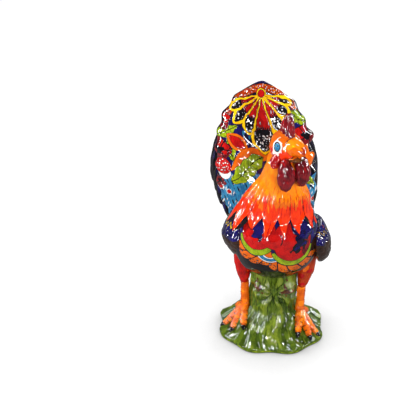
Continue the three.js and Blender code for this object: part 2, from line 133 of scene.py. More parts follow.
def carry(spine, t, a, side, front, back=None, across=(1, 0, 0), swell=1.0, slide=0.0):
    # p = spine + across side cos a + (across x ahead) depth sin a + ahead slide
    # depth = front where sin a > 0, else back, which is front unless it is given
    step = 1e-4
    ahead = unit(spine(clip(t + step, 0, 1)) - spine(clip(t - step, 0, 1)))
    sideways = np.broadcast_to(array(across, float), ahead.shape)
    facing = unit(np.cross(sideways, ahead))
    depth = where(sin(a) > 0, front, front if back is None else back)
    p = spine(t) + sideways * (side * cos(a) * swell)[..., None]
    p = p + facing * (depth * sin(a) * swell)[..., None]
    return p + ahead * (slide * np.ones_like(a))[..., None]


def raised(p, height):  # every point of a closed grid moved along its unit normal
    normal = unit(np.cross(np.roll(p, -1, 1) - np.roll(p, 1, 1), np.gradient(p, axis=0)))
    normal = normal * np.sign(np.sum(normal * (p - p.mean(1, keepdims=True))))
    return p + normal * height[..., None]


def lumps(p, size, seed, count=9):  # sine waves in seeded directions, about -1 to 1
    rng = np.random.default_rng(seed)
    waves = unit(rng.normal(size=(count, 3))) * (2 * pi / size * rng.uniform(0.6, 1.5, (count, 1)))
    return sin(p @ waves.T + rng.uniform(0, 6.28, count)).sum(-1) / 3


def alongOf(p):  # distance run along the piece's middle, for each row
    steps = np.linalg.norm(np.diff(p.mean(1), axis=0), axis=1)
    return concatenate([[0], np.cumsum(steps)])[:, None] * np.ones(p.shape[1])


# painting: a distance in mm for each glaze, negative where it lies

bare = 60.0  # distance where a glaze isn't laid


def both(*fields):  # negative only where every field is
    return reduce(maximum, fields)


def painter(p, *colours):  # the glazes of a piece, and the brush that lays them
    paint = {colour: np.full(p.shape[:2], bare) for colour in colours}

    def lay(colour, *fields):  # a new stroke covers what lies under it
        stroke = both(*fields)
        for other, laid in paint.items():
            paint[other] = minimum(laid, stroke) if other == colour else maximum(laid, -stroke)
    return paint, lay


def disc(u, v, centre, radius):
    return hypot(u - centre[0], v - centre[1]) - radius


def axial(u, v, foot, tip):  # share of the way from foot to tip, mm off that line, and its length
    axis = np.subtract(tip, foot)
    length = hypot(*axis)
    s = ((u - foot[0]) * axis[0] + (v - foot[1]) * axis[1]) / length ** 2
    return s, abs((u - foot[0]) * axis[1] - (v - foot[1]) * axis[0]) / length, length


def petal(u, v, foot, tip, width, fullAt=0.6):  # half width = width / 2 sin(pi s^q)^0.8
    s, off, length = axial(u, v, foot, tip)
    half = width / 2 * sin(pi * clip(s, 0, 1) ** (np.log(0.5) / np.log(fullAt))) ** 0.8
    return both(off - half, maximum(-s, s - 1) * length)


def wedge(u, v, foot, tip, width, fullAt):  # straight sides out to fullAt, then round to a blunt point
    s, off, length = axial(u, v, foot, tip)
    closing = positive(1 - clip((s - fullAt) / (1 - fullAt), 0, 1) ** 1.7) ** 0.7
    half = width / 2 * where(s < fullAt, clip(s / fullAt, 0, 1), closing)
    return both((off - half) * 0.92, maximum(-s, s - 1) * length)


def veins(u, v, foot, tip, pitch=9):  # a leaf's middle line and its side lines, slanting outwards
    s, off, length = axial(u, v, foot, tip)
    slant = abs(mod((s * length - 0.8 * off) / pitch, 1) - 0.5) * pitch
    return minimum(off - 0.3, slant - 0.2)


def hashed(i, j, seed):  # sine hash, 0 to 1
    return np.modf(abs(sin(i * 127.1 + j * 311.7 + seed * 74.7)) * 43758.5453)[0]


def dabs(u, v, pitch, radius, seed, stretch=1.0, wrap=None):
    # distance to the nearest brush dab, one to a cell, drawn out along v; wrap is the number of cells round
    cellU, cellV = np.floor(u / pitch), np.floor(v / (pitch * stretch))
    nearest = np.full(np.shape(u), bare)
    for i, j in product((-1, 0, 1), repeat=2):
        keyU, keyV = mod(cellU + i, wrap) if wrap else cellU + i, cellV + j
        du = u - (cellU + i + 0.05 + 0.9 * hashed(keyU, keyV, seed)) * pitch
        dv = v / stretch - (keyV + 0.05 + 0.9 * hashed(keyU, keyV, seed + 1)) * pitch
        size = radius * (0.6 + 0.8 * hashed(keyU, keyV, seed + 2))
        nearest = minimum(nearest, hypot(du, dv) - size)
    return nearest


# glaze materials

glazes = {  # main colour and the deeper one of its brush strokes
    "navy": ("#1a145e", "#0a0826"),
    "ink": ("#151118", "#050406"),
    "red": ("#c4120e", "#92080a"),
    "maroon": ("#84151d", "#4a0810"),
    "flame": ("#f63a06", "#e02604"),
    "rust": ("#b83a0a", "#962808"),
    "orange": ("#e86c0a", "#d0560a"),
    "amber": ("#fa8e0e", "#f47408"),
    "yellow": ("#ffd60e", "#e8aa0a"),
    "lime": ("#9cb216", "#647e0d"),
    "grass": ("#5c7218", "#374b10"),
    "meadow": ("#7a8a26", "#566a1c"),
    "moss": ("#3f5410", "#26360a"),
    "earth": ("#6a3a18", "#3a2010"),
    "sky": ("#358cb4", "#1f5e8c"),
    "white": ("#f6f2ec", "#d8d4d2"),
    "umber": ("#3a2218", "#1c100c"),
}
coating = {"edge": 0.35, "outline": 0.45, "noOutline": -1.0, "outlineEdge": 0.3, "outlineInk": "#140a0c",
           "lift": 0.05, "dip": -0.1}  # mm
firing = {"pools": 70.0, "hand": 260.0, "skin": 95.0, "streakFrom": 0.8, "streakTo": 1.25, "waver": 1.2,
          "sharp": 0.02, "dull": 0.07, "bump": 0.9, "ior": 1.6}


def linear(code):  # sRGB hex to linear light
    c = array([int(code[i:i + 2], 16) for i in (1, 3, 5)]) / 255
    return tuple(where(c <= 0.04045, c / 12.92, ((c + 0.055) / 1.055) ** 2.4)) + (1.0,)


def clearedTree(owner):
    owner.use_nodes = True
    owner.node_tree.nodes.clear()
    return owner.node_tree


def addNode(tree, kind, inputs=None, **settings):
    node = tree.nodes.new(kind)
    for key, value in settings.items():
        setattr(node, key, value)
    for socket, value in (inputs or {}).items():
        if isinstance(value, bpy.types.NodeSocket):
            tree.links.new(value, node.inputs[socket])
        else:
            node.inputs[socket].default_value = value
    return node


def maths(tree, operation, *values):
    return addNode(tree, "ShaderNodeMath", dict(enumerate(values)), operation=operation).outputs[0]


def blend(tree, share, under, over):
    return addNode(tree, "ShaderNodeMix", {0: share, 6: under, 7: over}, data_type="RGBA").outputs[2]


def smoothstep(tree, value, low, high):
    return addNode(tree, "ShaderNodeMapRange", {"Value": value, "From Min": low, "From Max": high},
                   interpolation_type="SMOOTHSTEP").outputs[0]


def noise(tree, vector, scale, detail=2.0, roughness=0.5):
    return addNode(tree, "ShaderNodeTexNoise", {"Vector": vector, "Scale": scale, "Detail": detail,
                                                "Roughness": roughness}).outputs["Fac"]


def brushCoatGroup():  # one glaze laid over the last: its colour, its dark outline and the ridge it leaves
    group = bpy.data.node_groups.new("brushCoat", "ShaderNodeTree")
    for way, kind, names in (("INPUT", "Color", ("Under", "Main", "Stroke")),
                             ("INPUT", "Float", ("Relief", "Distance", "Streak", "Waver", "Outline")),
                             ("OUTPUT", "Color", ("Color",)), ("OUTPUT", "Float", ("Relief",))):
        for name in names:
            group.interface.new_socket(name, in_out=way, socket_type="NodeSocket" + kind)
    given = addNode(group, "NodeGroupInput").outputs
    edge = maths(group, "ADD", given["Distance"], given["Waver"])
    inside = smoothstep(group, edge, coating["edge"], -coating["edge"])
    tone = blend(group, given["Streak"], given["Main"], given["Stroke"])
    covered = blend(group, inside, given["Under"], tone)
    past = maths(group, "SUBTRACT", maths(group, "ABSOLUTE", edge), given["Outline"])
    line = smoothstep(group, past, coating["outlineEdge"], -coating["outlineEdge"])
    inked = blend(group, line, covered, linear(coating["outlineInk"]))
    lift = maths(group, "MULTIPLY_ADD", inside, coating["lift"], given["Relief"])
    relief = maths(group, "MULTIPLY_ADD", line, coating["dip"], lift)
    addNode(group, "NodeGroupOutput", {"Color": inked, "Relief": relief})
    return group


brushCoat = brushCoatGroup()


def glazedClay(name, ground, coats, outlined, streakSize, unevenness):
    # ground glaze, then each painted coat in turn, under a wet gloss
    material = bpy.data.materials.new(name)
    tree = clearedTree(material)
    place = addNode(tree, "ShaderNodeTexCoord").outputs["Object"]
    grain = addNode(tree, "ShaderNodeAttribute", attribute_name="grain").outputs["Vector"]
    bristles = noise(tree, grain, 1 / streakSize, 3.0, 0.6)
    pools = noise(tree, place, firing["pools"])
    streak = smoothstep(tree, maths(tree, "ADD", bristles, pools), firing["streakFrom"], firing["streakTo"])
    hand = noise(tree, place, firing["hand"], 1.0)
    waver = maths(tree, "MULTIPLY_ADD", hand, firing["waver"], -firing["waver"] / 2)
    colour = blend(tree, streak, *map(linear, glazes[ground]))
    relief = maths(tree, "MULTIPLY", noise(tree, place, firing["skin"], 1.0), unevenness)
    for coat in coats:
        main, stroke = map(linear, glazes[coat])
        distance = addNode(tree, "ShaderNodeAttribute", attribute_name=coat + "_coat").outputs["Fac"]
        outline = coating["outline" if coat in outlined else "noOutline"]
        laid = addNode(tree, "ShaderNodeGroup", {
            "Under": colour, "Relief": relief, "Main": main, "Stroke": stroke, "Distance": distance,
            "Streak": streak, "Waver": waver, "Outline": outline}, node_tree=brushCoat).outputs
        colour, relief = laid["Color"], laid["Relief"]
    dull = addNode(tree, "ShaderNodeMapRange", {"Value": pools, "To Min": firing["sharp"],
                                                "To Max": firing["dull"]}).outputs[0]
    bump = addNode(tree, "ShaderNodeBump", {"Height": relief, "Distance": mm,
                                            "Strength": firing["bump"]}).outputs[0]
    gloss = addNode(tree, "ShaderNodeBsdfPrincipled", {
        "Base Color": colour, "Roughness": dull, "Normal": bump, "IOR": firing["ior"],
        "Specular IOR Level": 0.5})
    addNode(tree, "ShaderNodeOutputMaterial", {"Surface": gloss.outputs[0]})
    return material


def addObject(name, data):
    made = bpy.data.objects.new(name, data)
    bpy.context.collection.objects.link(made)
    return made


def listed(grid):  # a grid as one list, with the middle of each end added
    return concatenate([grid.reshape(-1, *grid.shape[2:]), [grid[0].mean(0), grid[-1].mean(0)]])


def makePiece(name, p, paint, ground, outlined=(), streakSize=1.6, unevenness=0.06, squeeze=0.12):
    # rows of points joined into quads, each end closed by a fan; squeeze draws brush strokes out along it
    rows, columns = p.shape[:2]
    count = rows * columns
    points = listed(p) * mm + footCentre
    here = np.arange(count).reshape(rows, columns)
    beside = np.roll(here, -1, 1)
    quads = stack([here[:-1], beside[:-1], beside[1:], here[1:]], -1).reshape(-1, 4)
    fans = concatenate([stack([beside[0], here[0], np.full(columns, count)], -1),
                        stack([here[-1], beside[-1], np.full(columns, count + 1)], -1)])
    corner = points[concatenate([quads[:, :3], quads[:, [0, 2, 3]], fans])]
    if np.einsum("ij,ij->", corner[:, 0], np.cross(corner[:, 1], corner[:, 2])) < 0:
        quads, fans = quads[:, ::-1], fans[:, ::-1]
    mesh = bpy.data.meshes.new(name)
    mesh.vertices.add(len(points))
    mesh.vertices.foreach_set("co", points.ravel())
    loops = concatenate([quads.ravel(), fans.ravel()])
    mesh.loops.add(len(loops))
    mesh.loops.foreach_set("vertex_index", loops)
    starts = concatenate([np.arange(len(quads)) * 4, len(quads) * 4 + np.arange(len(fans)) * 3])
    mesh.polygons.add(len(starts))
    mesh.polygons.foreach_set("loop_start", starts)
    mesh.update(calc_edges=True)
    mesh.polygons.foreach_set("use_smooth", np.ones(len(starts), bool))
    for coat, distance in paint.items():
        attribute = mesh.attributes.new(coat + "_coat", "FLOAT", "POINT")
        attribute.data.foreach_set("value", listed(distance))
    middle = p.mean(1, keepdims=True)
    heading = unit(middle[-1, 0] - middle[0, 0])
    grain = listed(p - middle + heading * (alongOf(p) * squeeze)[..., None])
    mesh.attributes.new("grain", "FLOAT_VECTOR", "POINT").data.foreach_set("vector", grain.ravel())
    mesh.materials.append(glazedClay(name + "_glaze", ground, paint, outlined, streakSize, unevenness))
    piece = addObject("glazed_" + name, mesh)
    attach(piece, "root")
    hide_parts(name)
    return piece


# body: upright rings on a sagging axis, x = W/2 egg r cos a, z = axis + height r sin a

body = {"breastReach": 107, "rumpReach": 125, "breastHeight": 246, "rumpHeight": 275, "sagFront": 203,
        "sagRear": 204, "width": 158, "rise": 68, "shoulderRise": 20, "shoulderAt": 0.25,
        "shoulderSpread": 0.13, "drop": 80, "square": 2.5, "belly": 2.0}
bodySpan = body["breastReach"] + body["rumpReach"]
bodyAxis = bezier((0, -body["breastReach"], body["breastHeight"]),
                  (0, -body["breastReach"] + bodySpan / 3, body["sagFront"]),
                  (0, -body["breastReach"] + 2 * bodySpan / 3, body["sagRear"]),
                  (0, body["rumpReach"], body["rumpHeight"]))


def alongBody(y):
    return clip((np.asarray(y, float) + body["breastReach"]) / bodySpan, 1e-4, 1 - 1e-4)


def axisHeight(y):
    return bodyAxis(alongBody(y))[..., 2]


def bodyRing(t, over):  # half width, height and roundness of a ring, over or under the axis
    rise = body["rise"] * egg(t) + body["shoulderRise"] * hill(t - body["shoulderAt"], body["shoulderSpread"])
    return (body["width"] / 2 * egg(t), where(over > 0, rise, body["drop"] * egg(t)),
            where(over > 0, body["square"], body["belly"]))


def bodySurface(t, a):
    half, height, _ = bodyRing(t, sin(a))
    reach = where(sin(a) > 0, squared(a, body["square"]), squared(a, body["belly"]))
    _, y, z = xyz(bodyAxis(t))
    return stack([half * reach * cos(a), y, z + height * reach * sin(a)], -1)


def bodyField(p):  # under 1 inside the body, 1 on its skin
    x, y, z = xyz(p)
    over = z - axisHeight(y)
    half, height, power = bodyRing(alongBody(y), over)
    field = ((abs(x) / half) ** power + (abs(over) / height) ** power) ** (1 / power)
    return where((y > -body["breastReach"]) & (y < body["rumpReach"]), field, 9.0)


def flankAt(y, z):  # half width of the body at a place along it and a height
    over = z - axisHeight(y)
    half, height, power = bodyRing(alongBody(y), over)
    return half * (1 - minimum(1, abs(over) / height) ** power) ** (1 / power)


def backAt(x, y):  # height of the body's back over a place
    half, height, power = bodyRing(alongBody(y), 1)
    return axisHeight(y) + height * (1 - minimum(1, abs(x) / half) ** power) ** (1 / power)


def halved(low, high, isLow, rounds):  # where isLow stops holding, between low and high
    for _ in range(rounds):
        middle = (low + high) / 2
        keep = isLow(middle)
        low, high = where(keep, middle, low), where(keep, high, middle)
    return high


def laidOn(p, centre, cover, pull, near, farthest=130.0):
    # points moved level, to or from the neck's axis, to lie cover above the skin; inward by pull at most
    level = p - centre
    level[..., 2] = 0
    radius = np.linalg.norm(level, axis=-1)
    heading = unit(level)
    axis = p - level
    out = halved(np.zeros_like(radius), np.full_like(radius, farthest),
                 lambda r: bodyField(axis + heading * r[..., None]) < 1, 16)
    skin = where(near, out + cover * ease(0, 12, out), 0)
    return axis + heading * maximum(skin, radius - pull)[..., None]


breast = {"scallops": {"left": (-36, 264, 36), "right": (31, 248, 41)},  # x, z and radius
          "rise": 10.5, "band": 2.0, "brim": 6, "petalTop": 286, "front": -15, "scales": 19, "scalePitch": 17,
          "scaleCentre": 262, "scaleRadius": 62, "inkTop": 222, "brownTop": 172, "beltTop": 250,
          "flankTop": 243, "jointRings": (("white", 25), ("sky", 22.5), ("white", 15.5), ("orange", 13)),
          "shade": ((58, 250), (1, 1, 0.7), 21), "lobe": ((-7, 262), 1, 16),  # x and z, squash, radius
          "heart": ((-31, 276), (1, 1, 0.55), 12), "star": ((42, 252), (1, 1, 0.75), 13),
          "dusk": ((46, 275), (0.7, 1, 1), 18)}
saddleback = {"saddleFront": 2, "saddleEdge": 12, "inset": 20, "tulipAt": (38, 262), "flowerAt": (84, 262),
              "dabs": (("ink", 9, 1.7, 23, 4.0),  # pitch, radius, seed and stretch
                       ("white", 7, 0.9, 17, 4.5), ("red", 26, 4.0, 29, 1.0)),
              "tulip": (("lime", (0, -26), (16, -6), 12),  # foot, tip and width
                        ("lime", (0, -26), (-15, -8), 12), ("red", (0, -14), (-11, 14), 15),
                        ("red", (0, -14), (0, 18), 15), ("red", (0, -14), (11, 14), 15)),
              "flower": {"white": 20, "sky": 14, "orange": 6}}


def onBreast(x, z):  # the place on the breast's skin in front of a point
    y = halved(-body["breastReach"], 0.0, lambda y: bodyField(array([x, y, z], float)) > 1, 40)
    return array([x, y, z])


def makeBody():
    p = bodySurface(*gridOf(240, 340))
    p = raised(p, 0.5 * lumps(p, 38, 3) + 0.1 * lumps(p, 12, 4))
    x, y, z = xyz(p)
    paint, lay = painter(p, "umber", "sky", "white", "orange", "lime", "red", "maroon", "navy", "ink")
    wave = sin(x / 9)
    lay("ink", z - breast["inkTop"] - 5 * wave + ease(-30, 60, y) * 50)
    lay("umber", z - breast["brownTop"] - 5 * wave, dabs(x, y, 12, 3.4, 39, 2.5))
    edge = 6 * abs(wave) + 2 * lumps(p, 12, 27)
    saddle = both(-saddleback["saddleFront"] - y - edge, axisHeight(y) + saddleback["saddleEdge"] - z)
    lay("sky", saddle)  # blue feather strokes between neck and tail
    for colour, pitch, radius, seed, stretch in saddleback["dabs"]:
        lay(colour, dabs(x * 1.05 + y * 0.25, y, pitch, radius, seed, stretch), saddle)
    for side in (-1, 1):  # tulip and round flower on each flank
        own = saddleback["inset"] - x * side
        u, v = y - saddleback["tulipAt"][0], z - saddleback["tulipAt"][1]
        for colour, *shape in saddleback["tulip"]:
            lay(colour, petal(u, v, *shape), own)
        u, v = y - saddleback["flowerAt"][0], z - saddleback["flowerAt"][1]
        angle, radius = arctan2(v, u), hypot(u, v)
        lay("white", radius - saddleback["flower"]["white"] - 2.5 * abs(cos(6 * angle)), own)
        lay("sky", radius - saddleback["flower"]["sky"] - 2 * cos(12 * angle), own)
        lay("orange", radius - saddleback["flower"]["orange"], own)
    front = y - breast["front"]
    lay("sky", dabs(x, z, 9, 1.0, 31, 4.0), breast["beltTop"] - z, front)
    centres = {key: onBreast(*cup[:2]) for key, cup in breast["scallops"].items()}
    off = {key: reachOf(p, centres[key]) - cup[2] for key, cup in breast["scallops"].items()}
    below = minimum(off["left"], off["right"])  # mm below the two scallops
    belt = both(z - breast["beltTop"] + 0.45 * positive(x - 10) + 0.15 * positive(-20 - x), front)
    lay("umber", z - breast["flankTop"] - 4 * sin(y / 6), 34 - x, front)
    run = arctan2(z - breast["scaleCentre"], x) * breast["scaleRadius"]  # along the row of scales
    hump = abs(cos(run / breast["scalePitch"] * pi))
    lay("orange", below - breast["scales"] - 3.5 * hump, 1.5 - below, belt)
    lay("white", dabs(run, below, 4.5, 0.8, 37), abs(below - 15) - 5, belt)
    lay("ink", 5 * hump - 0.55, abs(below - 11) - 10, belt)
    meeting = where((z < breast["beltTop"]) & (y < -60), 0, 400)
    joint = np.argmin(abs(off["left"]) + abs(off["right"]) + meeting)
    reachJoint = reachOf(p, p.reshape(-1, 3)[joint])  # half flower where the scallops meet
    for colour, radius in breast["jointRings"]:
        lay(colour, reachJoint - radius, belt)
    for key, (_, height, radius) in breast["scallops"].items():  # red petals in a green cup, thin at its ends
        lay("lime", off[key], z - height + breast["brim"], front)
        inner = reachOf(p - centres[key], (0, 0, breast["rise"]))
        lay("red", inner - radius + breast["band"], z - breast["petalTop"], front)

    def spot(key):  # distance from the edge of a round patch
        place, squash, radius = breast[key]
        return reachOf(p, onBreast(*place), squash) - radius
    lay("maroon", spot("shade"), off["right"] + 9, front)
    lay("red", spot("lobe"), front)
    lay("ink", abs(spot("lobe") - 0.5) - 0.5, off["right"] + 6, front)
    lay("navy", spot("heart") + 2 * lumps(p, 14, 33), front)
    core = breast["star"][0]
    star = spot("star") - 5 * cos(3 * arctan2(z - core[1], x - core[0]) + 1) + 3 * lumps(p, 9, 35)
    lay("ink", star, front)
    lay("navy", star + 4, front)
    lay("navy", spot("dusk") + 3 * lumps(p, 16, 34), front)
    return makePiece("body_shell", p, paint, "navy", ("sky", "orange", "lime", "red", "navy"))


# neck: a bell whose edge hangs in feather tips, laid down on the shoulders

neck = {"seat": 48, "lean": 18, "sway": 9, "bow": 5, "foot": 298, "top": 400, "bellWidth": 146,
        "bellFront": 52, "bellBack": 59, "throatWidth": 60, "throatDepth": 56, "flare": 1.7, "flareEnd": 0.92,
        "tips": 14, "tipDepth": 3, "tipLength": 32, "groove": 1.3, "grooveWidth": 2.2, "crown": 1.8,
        "cover": 2.6, "pull": 9, "orangeFrom": 27, "amberFrom": 38, "redTo": 44, "inkTo": 50,
        "paintRadius": 60}
neckAxis = bezier((0, -neck["seat"], neck["foot"]),
                  (neck["bow"], -neck["seat"], (neck["foot"] + neck["top"]) / 2),
                  (neck["sway"], -neck["seat"] - neck["lean"], neck["top"]))


def roundDabs(a, along, cells, radius, seed, stretch, offset=0):  # strokes that meet again round a piece
    around = neck["paintRadius"]
    return dabs(a * around + offset, along, 2 * pi * around / cells, radius, seed, stretch, cells)


def makeNeck():
    t, a = gridOf(260, 26 * neck["tips"], 0.0, 0.999)
    flare = positive(1 - t / neck["flareEnd"]) ** neck["flare"]
    ahead = ease(-0.6, -0.1, sin(a))
    turn = a * neck["tips"] / (2 * pi)
    turn = turn + 0.12 * sin(3 * a + 1) + 0.1 * sin(5 * a)  # feathers of unlike widths
    order = np.floor(turn + 0.5)
    fromTip = abs(turn - order) * 2  # 0 on a tip, 1 between two
    longer = 0.8 + 0.45 * hashed(mod(order, neck["tips"]), 0, 7)
    wave = mixed(0.55, 1, ahead) * (1 - fromTip ** 1.25) * longer
    side = mixed(neck["throatWidth"], neck["bellWidth"], flare) / 2
    front = mixed(neck["throatDepth"] / 2, neck["bellFront"], flare)
    rear = mixed(neck["throatDepth"] / 2, neck["bellBack"], flare)
    edge = t * (neck["top"] - neck["foot"])  # mm up from the edge
    flank = ease(0.5, 0.95, -cos(a))  # tips on the right stand off the shoulder
    swell = 1 + (2 * neck["tipDepth"] / neck["bellWidth"] + 0.1 * flank) * wave * (1 - t) ** 2
    slide = -neck["tipLength"] * wave * (1 - t) ** 5
    p = carry(neckAxis, t, a, side, front, rear, swell=swell, slide=slide)
    over = positive(p[:1, :, 2] - backAt(p[:1, :, 0], p[:1, :, 1]) - 1.5) * (1 - ahead)
    p[..., 2] -= over * (1 - t) ** 3
    between = (1 - fromTip) * pi / neck["tips"] * side  # mm from the line between two feathers
    furrow = hill(between, neck["grooveWidth"]) * (1 - ease(30, 62, edge))
    crown = neck["crown"] * wave * (1 - ease(20, 60, edge))
    drawn = p * (1, 1, 0.12)
    rills = 0.16 * lumps(drawn, 14, 6) + 0.14 * lumps(drawn, 6, 4) * (1 - ease(35, 70, edge))
    p = raised(p, crown - neck["groove"] * furrow + 0.5 * lumps(p, 30, 5) + rills)
    cover = neck["cover"] * ease(0, 3.0, edge) + 0.3 - 1.2 * furrow
    pull = neck["pull"] * (1 - 0.8 * flank) * (1 - ease(0, 40, edge))
    p = laidOn(p, neckAxis(t), cover, pull, t < 0.45)
    paint, lay = painter(p, "orange", "amber", "red", "ink")
    ragged = 3 * (1 - fromTip) + 5 * lumps(p * (1, 1, 0.2), 12, 8) + 6 * lumps(p * (1, 1, 0.12), 4.5, 10)
    lay("orange", neck["orangeFrom"] + ragged - edge)
    lay("amber", neck["amberFrom"] + ragged - edge)
    lay("red", roundDabs(a, edge, 56, 0.8, 41, 9.0), edge - neck["redTo"])
    lay("orange", roundDabs(a, edge, 48, 0.9, 43, 8.0, 3), abs(edge - 46) - 22)
    lay("ink", between - mixed(0.8, 0.0, clip(edge / 52, 0, 1)), edge - neck["inkTo"])
    lay("ink", edge - 0.5)
    return makePiece("neck_hackle", p, paint, "flame")


# tail: a hood on a leaning spine, its front painted with a fan of petals and flowers

tail = {"root": 70, "reach": 131, "sway": 31, "top": 456, "width": 186, "front": 40, "back": 46,
        "widest": 0.26, "narrowing": 2.7, "peak": 0.66, "saddleTop": 84, "dome": (78, 102), "domeFoot": 150,
        "rimFrom": 0.885, "rimFoot": 192, "lobe": 2.2, "quill": 1.1, "ridge": 2.5,
        "petalRise": 1.0, "flowerRise": 0.7}
tailAxis = bezier((-tail["sway"] * 0.3, tail["root"], float(axisHeight(tail["root"])) - body["drop"] / 3),
                  (-tail["sway"] * 0.9, mixed(tail["root"], tail["reach"], 0.72),
                   mixed(body["rumpHeight"], tail["top"], 0.42)),
                  (-tail["sway"], tail["reach"], tail["top"]))
fan = {"centre": (-2, 237), "border": 6.0, "inner": 2.3, "fullAt": 0.7,
       "bosses": (("yellow", 8.5), ("red", 6.2)),
       "petals": (((-62, 207), 24), ((55, 219), 20), ((-54, 183), 28), ((50, 197), 26), ((-28, 163), 35),
                  ((32, 168), 34), ((2, 128), 48))}  # tip and width
tailFlowers = {"poppies": ((-77, 187, 17), (-82, 131, 21), (80, 214, 11), (77, 161, 22), (-86, 72, 10)),
               "leaves": (((-92, 154), (-48, 178), 20), ((-67, 154), (-57, 112), 18),
                          ((46, 208), (70, 186), 19), ((60, 192), (92, 180), 18),
                          ((88, 66), (62, 96), 16)),  # foot, tip and width
               "bud": ((-68, 162), (-30, 134), 30), "berry": (-79, 101), "berryEye": (-77, 88),
               "petals": (((-66, 92), (-16, 140), 26), ((-34, 134), (10, 122), 24), ((54, 92), (90, 128), 26),
                          ((68, 108), (80, 146), 17)),
               "bigLeaf": ((-64, 76), (-2, 122), 37), "spotRings": (("white", 5.2), ("red", 4.0)),
               "spots": ((-71, 53), (-86, 60), (66, 56), (-40, 46), (84, 40))}


def tailFull(t):
    low = 1 - 0.2 * (positive(tail["widest"] - t) / tail["widest"]) ** 2
    upper = positive(t - tail["widest"]) / (1 - tail["widest"])
    return where(t < tail["widest"], low, positive(1 - upper ** tail["narrowing"]) ** tail["peak"])


